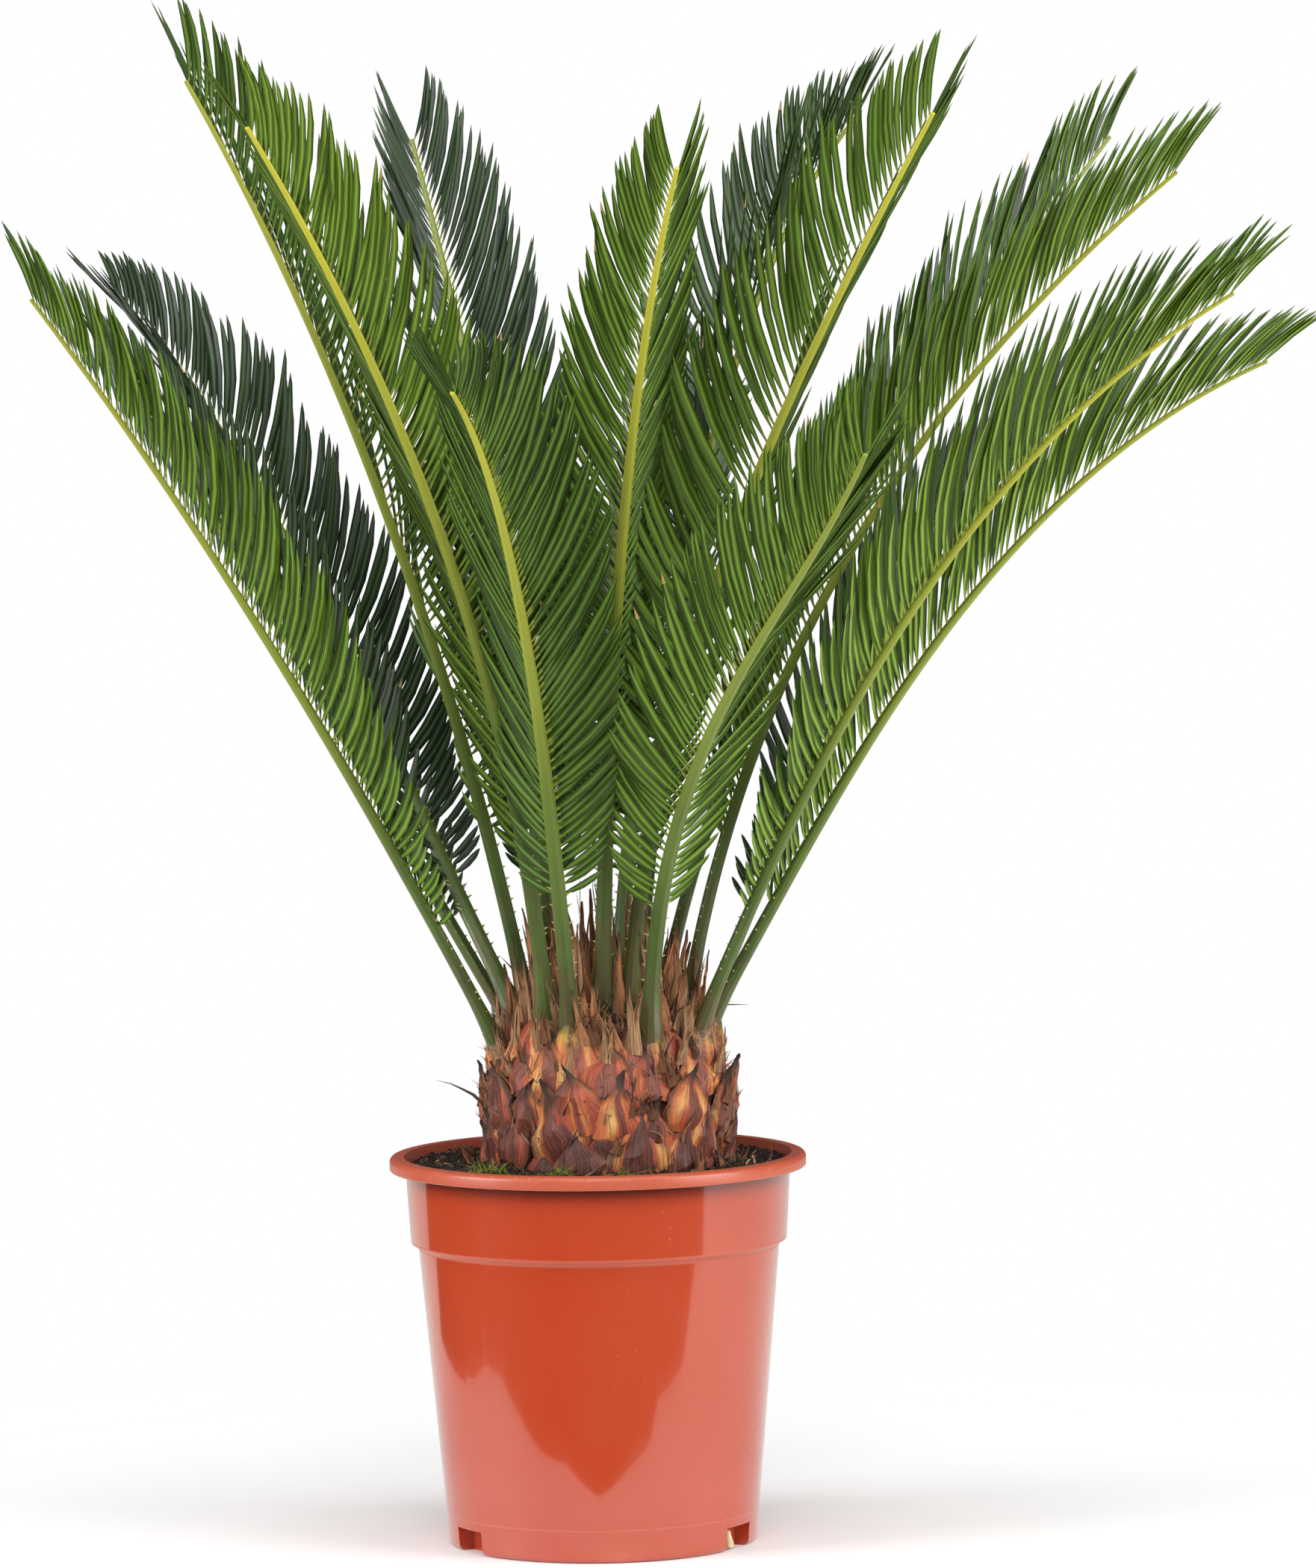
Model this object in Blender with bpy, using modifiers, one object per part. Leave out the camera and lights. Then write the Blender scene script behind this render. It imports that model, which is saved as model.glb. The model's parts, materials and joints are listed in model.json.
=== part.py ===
"""Sago palm in a round plastic nursery pot.

One closed solid for each piece: the pot, the soil in it, the scaly trunk and every
frond. Metres, +Z up. The origin is the middle of the pot's flat underside, and the
front of the plant looks along -Y.
"""
import math
import random
from collections import namedtuple

import bmesh
import bpy
from mathutils import Matrix, Vector
from mathutils.bvhtree import BVHTree

# Pot
POT_HEIGHT = 0.1775
RIM_RADIUS = 0.0950
RIM_ROUND = 0.0022
LIP_HEIGHT = 0.0062
COLLAR_TOP_RADIUS = 0.0876
COLLAR_FOOT_RADIUS = 0.0858
COLLAR_FOOT_Z = 0.1390
LEDGE_HEIGHT = 0.0035
BODY_TOP_RADIUS = 0.0822
BASE_RADIUS = 0.0705
BASE_CORNER = 0.0030
WALL = 0.0015
FLOOR = 0.0020
TURNED_STEPS = 64
CORNER_STEPS = 3
MERGE = 0.00001
PAST = 0.0100

# Three drain notches in the foot of the pot
NOTCH_AZIMUTHS = (211, 331, 91)
NOTCH_WIDTH = 0.0210
NOTCH_HEIGHT = 0.0110
NOTCH_DEPTH = 0.0080

# Soil and trunk
GAP = 0.0003
SOIL_TOP = 0.1735
TRUNK_X = 0.0050
BELLY_RADIUS = 0.0580
BELLY_Z = 0.1970
BELLY_CURVE = 12.3
CROWN_Z = 0.2220
CROWN_RISE = 0.0280
CROWN_RING_SHARES = (0.76, 0.40)
SCALE_COLUMNS = 16
SCALE_ROWS = 6
SCALE_PROUD = 0.0045
SCALE_LIFT = 0.0030

# Papery bracts that stand between the stalks, from the outer ring to the middle
BRACT_HEIGHTS = ((0.018, 0.034), (0.026, 0.046), (0.034, 0.052))
BRACT_SPREAD = 0.12
BRACT_TRIES = (1.0, 0.7, 0.45)
BRACT_SEED = 4

# Fronds
LEAFLETS_A_SIDE = 22
STALK_SHARES = (0.0, 0.33, 0.67)
RIB_STEPS = 60
FOOT_HEIGHT = 0.0060
FOOT_SUNK = 0.0120
FOOT_GAP = 0.0005
FOOT_HALF_WIDTH = 0.0040
TIP_HALF_WIDTH = 0.0011
LEAF_THICKNESS = 0.0016
RIB_CORNERS = 6
LEAST_DEPTH_SHARE = 0.75

# Length of the leaflets along the blade, as shares of the longest and of the blade
FIRST_LEAFLET = 0.26
LONGEST_AT = 0.55
RISE_POWER = 0.9
TIP_LOSS = 0.42

# Angle between leaflet and rib: at the stalk, what it closes by, and what the last fifth adds
STALK_ANGLE = 64
CLOSING = 40
CLOSING_POWER = 0.6
LAST_CLOSING = 4
LAST_FROM = 0.8
LAST_POWER = 1.5

# Angle that each row of leaflets stands up by, less on the first third of the blade
KEEL_ANGLE = 50
FOOT_KEEL_ANGLE = 24
FOOT_KEEL_SHARE = 0.35

# A leaflet that would touch its neighbours is tried shorter, a little swollen and longer
LEAFLET_TRIES = (1.0, 0.85, 0.7, 0.55, 0.4)
TEST_SWELL = 0.0005
TEST_REACH = 1.02

# Each frond: azimuth and radius of its foot on the crown, azimuth at foot and tip,
# lean from upright at foot, middle and tip, length, twist about its own rib, length of
# its longest leaflet, and the share of its length that is bare stalk. Angles are in
# degrees, and azimuths turn anticlockwise from +X, so 270 points to the front.
Frond = namedtuple("Frond", "foot_azimuth foot_radius azimuths leans length twist longest bare")
FRONDS = {
    "frond_left_low": Frond(188, 0.050, (212, 213), (30, 33, 40), 0.412, -18, 0.072, 0.15),
    "frond_left_rear": Frond(172, 0.042, (129, 129), (40, 30, 60), 0.450, -8, 0.068, 0.16),
    "frond_left_tall": Frond(161, 0.038, (206, 207), (12, 20, 31), 0.452, 14, 0.078, 0.18),
    "frond_left_fore": Frond(228, 0.040, (232, 235), (7, 30, 44), 0.455, 8, 0.074, 0.16),
    "frond_fore_left": Frond(249, 0.044, (257, 257), (17, 19, 67), 0.360, -5, 0.078, 0.17),
    "frond_fore_upright": Frond(267, 0.028, (280, 284), (9, 22, 46), 0.420, 2, 0.066, 0.20),
    "frond_fore_right": Frond(296, 0.046, (291, 294), (3, 79, 46), 0.370, -4, 0.078, 0.15),
    "frond_right_tall": Frond(295, 0.026, (309, 306), (7, 40, 42), 0.460, -6, 0.080, 0.17),
    "frond_right_upper": Frond(24, 0.040, (342, 343), (10, 34, 52), 0.452, 14, 0.078, 0.17),
    "frond_right_fore": Frond(333, 0.047, (335, 338), (25, 29, 61), 0.425, 22, 0.080, 0.14),
    "frond_right_low": Frond(8, 0.047, (353, 353), (30, 26, 67), 0.400, 6, 0.074, 0.15),
    "frond_rear_left": Frond(148, 0.030, (112, 109), (-1, 37, 38), 0.440, -4, 0.079, 0.17),
    "frond_rear_upright": Frond(62, 0.030, (57, 54), (10, 12, 56), 0.460, -24, 0.080, 0.18),
    "frond_rear_right": Frond(42, 0.034, (31, 31), (14, 42, 43), 0.470, -28, 0.076, 0.18),
    "frond_rear_arched_left": Frond(118, 0.046, (103, 103), (24, 52, 76), 0.400, 0, 0.070, 0.16),
    "frond_rear_arched_right": Frond(84, 0.046, (80, 80), (20, 50, 78), 0.420, 0, 0.070, 0.16),
    "frond_left_low_rear": Frond(146, 0.050, (159, 159), (33, 28, 38), 0.365, 0, 0.066, 0.16),
    "frond_right_low_rear": Frond(32, 0.050, (19, 19), (24, 27, 58), 0.380, 0, 0.066, 0.16),
}


# Scene and materials

def clear_scene():
    for obj in list(bpy.data.objects):
        bpy.data.objects.remove(obj)


def new_collection(name):
    collection = bpy.data.collections.new(name)
    bpy.context.scene.collection.children.link(collection)
    return collection


def make_material(name, colour, roughness):
    material = bpy.data.materials.new(name)
    material.use_nodes = True
    shader = material.node_tree.nodes["Principled BSDF"]
    shader.inputs["Base Color"].default_value = (*colour, 1.0)
    shader.inputs["Roughness"].default_value = roughness
    shader.inputs["Metallic"].default_value = 0.0
    return material


def add_object(name, mesh, collection, material=None):
    if material:
        mesh.materials.append(material)
    obj = bpy.data.objects.new(name, mesh)
    collection.objects.link(obj)
    return obj


def object_from_bmesh(name, bm, collection, material):
    mesh = bpy.data.meshes.new(name)
    bm.to_mesh(mesh)
    bm.free()
    return add_object(name, mesh, collection, material)


# Turned solids and the boxes that cut them

def turned(name, profile, collection, material=None):
    """A solid turned about +Z from (radius, z) points that start and end on the axis."""
    mesh = bpy.data.meshes.new(name)
    points = [(radius, 0.0, z) for radius, z in profile]
    edges = [(i, i + 1) for i in range(len(points) - 1)]
    mesh.from_pydata(points, edges, [])
    obj = add_object(name, mesh, collection, material)
    screw = obj.modifiers.new("turn", "SCREW")
    screw.steps = TURNED_STEPS
    screw.render_steps = TURNED_STEPS
    screw.use_merge_vertices = True
    screw.merge_threshold = MERGE
    return obj


def cut(obj, cutter):
    boolean = obj.modifiers.new("cut " + cutter.name, "BOOLEAN")
    boolean.operation = "DIFFERENCE"
    boolean.object = cutter


def as_cutter(obj):
    obj.hide_render = True
    obj.display_type = "WIRE"
    return obj


def notch_box(azimuth, grow, collection):
    """A box across the foot of the pot, reaching from below the floor past the wall."""
    inner = BASE_RADIUS - NOTCH_DEPTH - grow
    outer = BASE_RADIUS + PAST
    bottom = -PAST
    top = NOTCH_HEIGHT + grow
    size = Vector((outer - inner, NOTCH_WIDTH + 2 * grow, top - bottom))
    middle = Vector(((outer + inner) / 2, 0.0, (top + bottom) / 2))
    bm = bmesh.new()
    bmesh.ops.create_cube(bm, size=1.0)
    bmesh.ops.scale(bm, vec=size, verts=bm.verts)
    bmesh.ops.translate(bm, vec=middle, verts=bm.verts)
    turn = Matrix.Rotation(math.radians(azimuth), 3, "Z")
    bmesh.ops.rotate(bm, cent=(0, 0, 0), matrix=turn, verts=bm.verts)
    mesh = bpy.data.meshes.new("notch box")
    bm.to_mesh(mesh)
    bm.free()
    return as_cutter(add_object("notch box", mesh, collection))


def quarter_round(middle_radius, middle_z, size, start):
    """Points of a quarter circle, clockwise from the angle start in degrees."""
    points = []
    for i in range(CORNER_STEPS + 1):
        angle = math.radians(start - 90 * i / CORNER_STEPS)
        points.append((middle_radius + size * math.cos(angle), middle_z + size * math.sin(angle)))
    return points


def outer_profile():
    lip_foot = POT_HEIGHT - LIP_HEIGHT
    lip_middle = RIM_RADIUS - RIM_ROUND
    profile = [(0.0, POT_HEIGHT)]
    profile += quarter_round(lip_middle, POT_HEIGHT - RIM_ROUND, RIM_ROUND, 90)
    profile += quarter_round(lip_middle, lip_foot + RIM_ROUND, RIM_ROUND, 0)
    profile += [
        (COLLAR_TOP_RADIUS, lip_foot),
        (COLLAR_FOOT_RADIUS, COLLAR_FOOT_Z),
        (BODY_TOP_RADIUS, COLLAR_FOOT_Z - LEDGE_HEIGHT),
    ]
    profile += quarter_round(BASE_RADIUS - BASE_CORNER, BASE_CORNER, BASE_CORNER, 0)
    return profile + [(0.0, 0.0)]


def inner_profile(top, clear):
    """The inside of the pot up to the height top, drawn in by the clearance clear."""
    inset = WALL + clear
    slope = (COLLAR_TOP_RADIUS - COLLAR_FOOT_RADIUS) / (POT_HEIGHT - COLLAR_FOOT_Z)
    top_radius = COLLAR_FOOT_RADIUS + slope * (top - COLLAR_FOOT_Z)
    return [
        (0.0, top),
        (top_radius - inset, top),
        (COLLAR_FOOT_RADIUS - inset, COLLAR_FOOT_Z),
        (BODY_TOP_RADIUS - inset, COLLAR_FOOT_Z - LEDGE_HEIGHT),
        (BASE_RADIUS - inset, FLOOR + clear),
        (0.0, FLOOR + clear),
    ]


def make_pot(parts, cutters, material):
    cavity = as_cutter(turned("cavity", inner_profile(POT_HEIGHT + PAST, 0.0), cutters))
    pot = turned("pot", outer_profile(), parts, material)
    cut(pot, cavity)
    for azimuth in NOTCH_AZIMUTHS:
        cut(cavity, notch_box(azimuth, WALL, cutters))
        cut(pot, notch_box(azimuth, 0.0, cutters))
    return pot


def make_soil(parts, cutters, material):
    soil = turned("soil", inner_profile(SOIL_TOP, GAP), parts, material)
    for azimuth in NOTCH_AZIMUTHS:
        cut(soil, notch_box(azimuth, WALL + GAP, cutters))
    return soil


# Trunk

def barrel_radius(z):
    return BELLY_RADIUS - BELLY_CURVE * (z - BELLY_Z) ** 2


def crown_height(radius):
    share = min(radius / barrel_radius(CROWN_Z), 1.0)
    return CROWN_Z + CROWN_RISE * math.sqrt(1.0 - share ** 2)


def ring_of_points(bm, radius, z, half_step):
    ring = []
    for i in range(SCALE_COLUMNS):
        angle = 2 * math.pi * (i + half_step) / SCALE_COLUMNS
        ring.append(bm.verts.new((TRUNK_X + radius * math.cos(angle), radius * math.sin(angle), z)))
    return ring


def scale_faces(bm, rings):
    """Lozenges over rings that are turned half a step against each other."""
    lozenges = []
    last = len(rings) - 1
    for row in range(last + 1):
        for i in range(SCALE_COLUMNS):
            following = (i + 1) % SCALE_COLUMNS
            beside = i if row % 2 == 0 else following
            here = rings[row]
            if row == 0:
                bm.faces.new((here[i], here[following], rings[1][beside]))
            elif row == last:
                bm.faces.new((here[i], here[following], rings[row - 1][beside]))
            else:
                below, above = rings[row - 1], rings[row + 1]
                corners = (here[i], below[beside], here[following], above[beside])
                lozenges.append(bm.faces.new(corners))
    return lozenges


def crown_faces(bm, rim):
    """The crown as rings of faces from the rim up to the middle, outermost first."""
    rim_radius = barrel_radius(CROWN_Z)
    half_step = 0.5 * (SCALE_ROWS % 2)
    rings = [rim]
    for share in CROWN_RING_SHARES:
        radius = share * rim_radius
        rings.append(ring_of_points(bm, radius, crown_height(radius), half_step))
    bands = []
    for low, high in zip(rings, rings[1:]):
        band = []
        for i in range(SCALE_COLUMNS):
            j = (i + 1) % SCALE_COLUMNS
            band.append(bm.faces.new((low[i], low[j], high[j], high[i])))
        bands.append(band)
    middle = bm.verts.new((TRUNK_X, 0.0, CROWN_Z + CROWN_RISE))
    centre = []
    for i in range(SCALE_COLUMNS):
        centre.append(bm.faces.new((rings[-1][i], rings[-1][(i + 1) % SCALE_COLUMNS], middle)))
    bands.append(centre)
    return bands


def raise_point(bm, face, target):
    """Draw one face out into a point."""
    poked = bmesh.ops.poke(bm, faces=[face])
    poked["verts"][0].co = target


def spike_tree(corners, tip):
    points = list(corners) + [tip]
    count = len(corners)
    faces = [(i, (i + 1) % count, count) for i in range(count)]
    return BVHTree.FromPolygons(points, faces)


def is_clear(tree, others):
    return not any(tree.overlap(other) for other in others)


def raise_bracts(bm, bands, stalk_trees):
    rng = random.Random(BRACT_SEED)
    axis = Vector((TRUNK_X, 0.0, 0.0))
    for band, (low, high) in zip(bands, BRACT_HEIGHTS):
        for face in band:
            height = rng.uniform(low, high)
            centre = face.calc_center_median()
            outward = (centre - axis) * Vector((1, 1, 0))
            corners = [vert.co.copy() for vert in face.verts]
            for share in BRACT_TRIES:
                spread = outward.normalized() * height * share * BRACT_SPREAD
                tip = centre + spread + Vector((0, 0, height * share))
                if is_clear(spike_tree(corners, tip), stalk_trees):
                    raise_point(bm, face, tip)
                    break


def trunk_bmesh(stalk_trees):
    bm = bmesh.new()
    rings = []
    bottom = SOIL_TOP + GAP
    for row in range(SCALE_ROWS + 1):
        z = bottom + (CROWN_Z - bottom) * row / SCALE_ROWS
        rings.append(ring_of_points(bm, barrel_radius(z), z, 0.5 * (row % 2)))
    bm.faces.new(list(reversed(rings[0])))
    lozenges = scale_faces(bm, rings)
    bands = crown_faces(bm, rings[-1])
    bmesh.ops.recalc_face_normals(bm, faces=bm.faces)
    for face in lozenges:
        tip = face.calc_center_median() + face.normal * SCALE_PROUD + Vector((0, 0, SCALE_LIFT))
        raise_point(bm, face, tip)
    raise_bracts(bm, bands, stalk_trees)
    return bm


# The rule of a frond

def along(pair, share):
    return pair[0] + (pair[1] - pair[0]) * share


def lean_at(leans, share):
    foot, middle, tip = leans
    rest = 1 - share
    return rest * rest * foot + 2 * share * rest * middle + share * share * tip


def rib_frame(frond, share):
    """Unit vectors of the rib at a share of its length: along it, its upper face, its side."""
    tilt = math.radians(lean_at(frond.leans, share))
    turn = math.radians(along(frond.azimuths, share))
    away = Vector((math.cos(turn), math.sin(turn), 0.0))
    up = Vector((0.0, 0.0, 1.0))
    forward = away * math.sin(tilt) + up * math.cos(tilt)
    upper = up * math.sin(tilt) - away * math.cos(tilt)
    side = forward.cross(upper)
    roll = math.radians(frond.twist)
    rolled_upper = upper * math.cos(roll) + side * math.sin(roll)
    rolled_side = side * math.cos(roll) - upper * math.sin(roll)
    return forward, rolled_upper, rolled_side


def rib_points(frond):
    """The rib as RIB_STEPS equal steps from just above the crown to the tip."""
    azimuth, radius = math.radians(frond.foot_azimuth), frond.foot_radius
    foot = Vector((
        TRUNK_X + radius * math.cos(azimuth),
        radius * math.sin(azimuth),
        crown_height(radius) + FOOT_HEIGHT,
    ))
    points = [foot]
    for i in range(RIB_STEPS):
        forward = rib_frame(frond, (i + 0.5) / RIB_STEPS)[0]
        points.append(points[-1] + forward * frond.length / RIB_STEPS)
    return points


def point_at(points, share):
    place = min(share, 1.0) * RIB_STEPS
    i = min(int(place), RIB_STEPS - 1)
    return points[i].lerp(points[i + 1], place - i)


def leaflet_length(longest, share):
    """Leaflets grow quickly from short ones at the stalk and shorten again at the tip."""
    climb = math.sin(math.pi / 2 * min(share / LONGEST_AT, 1.0)) ** RISE_POWER
    beyond = max((share - LONGEST_AT) / (1 - LONGEST_AT), 0.0)
    return longest * along((FIRST_LEAFLET, 1.0), climb) * (1 - TIP_LOSS * beyond ** 2)


def leaflet_angle(share):
    """Angle between leaflet and rib, in degrees: wide at the stalk, closed at the tip."""
    beyond = max((share - LAST_FROM) / (1 - LAST_FROM), 0.0)
    return STALK_ANGLE - CLOSING * share ** CLOSING_POWER - LAST_CLOSING * beyond ** LAST_POWER


def keel_angle(share):
    """How far each row stands up from the plane of the frond, in degrees."""
    flatter = max(1 - share / FOOT_KEEL_SHARE, 0.0)
    return KEEL_ANGLE - (KEEL_ANGLE - FOOT_KEEL_ANGLE) * flatter


# Solid fronds

def rib_ring(bm, point, frame, half_width):
    """Six corners round the rib: a ridge, a keel, and a narrow edge on either side."""
    upper, side = frame[1], frame[2]
    edge = upper * LEAF_THICKNESS / 2
    depth = max(half_width, LEAF_THICKNESS * LEAST_DEPTH_SHARE)
    corners = (
        point + upper * depth,
        point + side * half_width + edge,
        point + side * half_width - edge,
        point - upper * depth,
        point - side * half_width - edge,
        point - side * half_width + edge,
    )
    return [bm.verts.new(corner) for corner in corners]


def stalk_bmesh(frond):
    """The rib with its foot still sunk in the crown, and the edge faces of its two sides."""
    points = rib_points(frond)
    bare = frond.bare
    shares = [bare * share for share in STALK_SHARES]
    blade = [bare + (1 - bare) * i / LEAFLETS_A_SIDE for i in range(LEAFLETS_A_SIDE + 1)]
    bm = bmesh.new()
    first = rib_frame(frond, 0.0)
    rings = [rib_ring(bm, points[0] - first[0] * FOOT_SUNK, first, FOOT_HALF_WIDTH)]
    for share in shares + blade:
        half_width = along((FOOT_HALF_WIDTH, TIP_HALF_WIDTH), share)
        rings.append(rib_ring(bm, point_at(points, share), rib_frame(frond, share), half_width))
    edges = {1: [], -1: []}
    for low, high in zip(rings, rings[1:]):
        faces = []
        for i in range(RIB_CORNERS):
            j = (i + 1) % RIB_CORNERS
            faces.append(bm.faces.new((low[i], low[j], high[j], high[i])))
        edges[1].append(faces[1])
        edges[-1].append(faces[4])
    bm.faces.new(list(reversed(rings[0])))
    bm.faces.new(rings[-1])
    bmesh.ops.recalc_face_normals(bm, faces=bm.faces)
    for side in edges:
        edges[side] = edges[side][-LEAFLETS_A_SIDE:]
    return bm, rings[:2], edges


def seat_foot(frond, rings, trunk, trunk_tree):
    """Bring the foot of the stalk up to FOOT_GAP clear of the crown it stands on."""
    forward = rib_frame(frond, 0.0)[0]
    sunk, above = rings
    centre = sum((vert.co for vert in above), Vector()) / len(above)
    starts = [centre]
    for i, vert in enumerate(above):
        between = (vert.co + above[(i + 1) % RIB_CORNERS].co) / 2
        starts += [vert.co.copy(), between, (vert.co + centre) / 2, (between + centre) / 2]
    travel = FOOT_SUNK
    for start in starts:
        distance = trunk_tree.ray_cast(start, -forward)[3]
        if distance is not None:
            travel = min(travel, distance - FOOT_GAP)
    for vert in trunk.verts:
        offset = centre - vert.co
        height = offset.dot(forward)
        if height > 0 and (offset - forward * height).length < FOOT_HALF_WIDTH:
            travel = min(travel, height - FOOT_GAP)
    for low, high in zip(sunk, above):
        low.co = high.co - forward * travel


def leaflet_tip(frond, share, side, root, reach):
    forward, upper, sideways = rib_frame(frond, along((frond.bare, 1.0), share))
    angle = math.radians(leaflet_angle(share))
    keel = math.radians(keel_angle(share))
    outward = sideways * side * math.cos(keel) + upper * math.sin(keel)
    direction = forward * math.cos(angle) + outward * math.sin(angle)
    return root + direction * leaflet_length(frond.longest, share) * reach


def swollen(face, centre):
    return [vert.co + (vert.co - centre).normalized() * TEST_SWELL for vert in face.verts]


def raise_leaflets(frond, bm, edges, others):
    """Draw every edge face out into a leaflet, shorter or none where it would touch."""
    for side, faces in edges.items():
        for i, face in enumerate(faces):
            share = (i + 0.5) / LEAFLETS_A_SIDE
            root = face.calc_center_median()
            corners = swollen(face, root)
            for reach in LEAFLET_TRIES:
                tip = leaflet_tip(frond, share, side, root, reach)
                past = root + (tip - root) * TEST_REACH
                if is_clear(spike_tree(corners, past), others):
                    raise_point(bm, face, tip)
                    break


def make_plant(parts, trunk_material, frond_material):
    stalks = {name: stalk_bmesh(frond) for name, frond in FRONDS.items()}
    stalk_trees = {name: BVHTree.FromBMesh(stalk[0]) for name, stalk in stalks.items()}
    trunk = trunk_bmesh(list(stalk_trees.values()))
    trunk_tree = BVHTree.FromBMesh(trunk)
    finished = [trunk_tree]
    for name, frond in FRONDS.items():
        bm, foot_rings, edges = stalks[name]
        seat_foot(frond, foot_rings, trunk, trunk_tree)
        others = finished + [tree for other, tree in stalk_trees.items() if other != name]
        raise_leaflets(frond, bm, edges, others)
        finished.append(BVHTree.FromBMesh(bm))
        object_from_bmesh(name, bm, parts, frond_material)
    object_from_bmesh("trunk", trunk, parts, trunk_material)


def main():
    clear_scene()
    parts = new_collection("sago palm")
    cutters = new_collection("cutters")
    make_pot(parts, cutters, make_material("terracotta plastic", (0.565, 0.072, 0.023), 0.35))
    make_soil(parts, cutters, make_material("potting soil", (0.020, 0.013, 0.009), 0.95))
    trunk_material = make_material("trunk scales", (0.300, 0.090, 0.035), 0.55)
    frond_material = make_material("frond green", (0.045, 0.140, 0.025), 0.40)
    make_plant(parts, trunk_material, frond_material)


main()
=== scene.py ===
# %% [markdown]
# # A sago palm in its nursery pot
# This lesson dresses a plain solid model of a potted sago palm. The solids say where the
# pot, the soil, the trunk and every frond are. The lesson grows the fine things on them:
# about 2,900 stiff leaflets, the scales of the trunk, the crumbs of the soil and the gloss
# of the plastic. First the solid model is loaded.

# %% Load the solid model
import json
import math
import random
from collections import namedtuple

import bmesh
import bpy
from mathutils import Matrix, Vector, noise

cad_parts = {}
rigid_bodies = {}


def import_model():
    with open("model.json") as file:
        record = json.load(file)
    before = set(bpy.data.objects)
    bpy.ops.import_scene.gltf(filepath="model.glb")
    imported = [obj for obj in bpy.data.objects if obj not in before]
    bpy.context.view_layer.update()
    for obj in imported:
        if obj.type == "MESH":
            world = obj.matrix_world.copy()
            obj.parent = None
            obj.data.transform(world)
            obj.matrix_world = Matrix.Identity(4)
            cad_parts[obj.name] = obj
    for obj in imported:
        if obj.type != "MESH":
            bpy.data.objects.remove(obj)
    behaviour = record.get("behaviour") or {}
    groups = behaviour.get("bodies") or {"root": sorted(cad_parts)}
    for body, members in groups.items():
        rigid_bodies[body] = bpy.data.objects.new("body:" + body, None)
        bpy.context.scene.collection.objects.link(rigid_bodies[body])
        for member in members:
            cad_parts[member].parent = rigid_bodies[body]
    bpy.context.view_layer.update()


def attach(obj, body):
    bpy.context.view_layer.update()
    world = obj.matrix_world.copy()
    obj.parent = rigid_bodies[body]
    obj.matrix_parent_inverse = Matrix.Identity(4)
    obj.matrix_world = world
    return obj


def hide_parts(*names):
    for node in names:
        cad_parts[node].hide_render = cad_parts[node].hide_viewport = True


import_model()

# %% [markdown]
# ## The camera
# A plant this tall is photographed from a few steps away with a long lens, so that the
# pot's rim looks flat. The camera stands 3.6 m in front, a little above the middle of the
# plant. The focal length is worked out from the pictured size of the pot. The plant leans
# a touch in the picture, so the camera is rolled by less than a degree.

# %% Place the camera
PICTURE_HEIGHT = 2100
FOCAL_PIXELS = 10625
SENSOR = 36.0
CAMERA_PLACE = Vector((0.03, -3.6, 0.592))
CAMERA_AIM = Vector((0.03, 0.0, 0.3459))
CAMERA_ROLL = math.radians(0.85)

camera_data = bpy.data.cameras.new("camera")
camera_data.sensor_width = SENSOR
camera_data.lens = FOCAL_PIXELS / PICTURE_HEIGHT * SENSOR
camera = bpy.data.objects.new("camera", camera_data)
bpy.context.scene.collection.objects.link(camera)
camera.location = CAMERA_PLACE
look = (CAMERA_AIM - CAMERA_PLACE).to_track_quat("-Z", "Y").to_matrix()
camera.rotation_euler = (look @ Matrix.Rotation(-CAMERA_ROLL, 3, "Z")).to_euler()
bpy.context.scene.camera = camera
print("lens:", round(camera_data.lens, 1), "mm")

# %% [markdown]
# ## Expressions that build nodes
# Both materials and Geometry Nodes are trees of small nodes. Wiring them one by one hides
# the arithmetic. This class wraps a socket and gives it Python's operators, so that
# `1 - share * share` adds its own Math nodes. One method, `add`, makes any other node from
# its type, its settings and the values or links of its sockets.

# %% A socket that can be calculated with
def find_socket(sockets, key):
    """A socket by its number, its identifier or its name."""
    if isinstance(key, int):
        return sockets[key]
    for socket in sockets:
        if socket.identifier == key:
            return socket
    return sockets[key]


def worked_out(operation, swapped=False):
    """A method that adds a Math node for a wire and the values that it is called with."""

    def method(self, *others):
        values = (*others, self) if swapped else (self, *others)
        return self.add("ShaderNodeMath", {"operation": operation}, dict(enumerate(values)))

    return method


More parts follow.
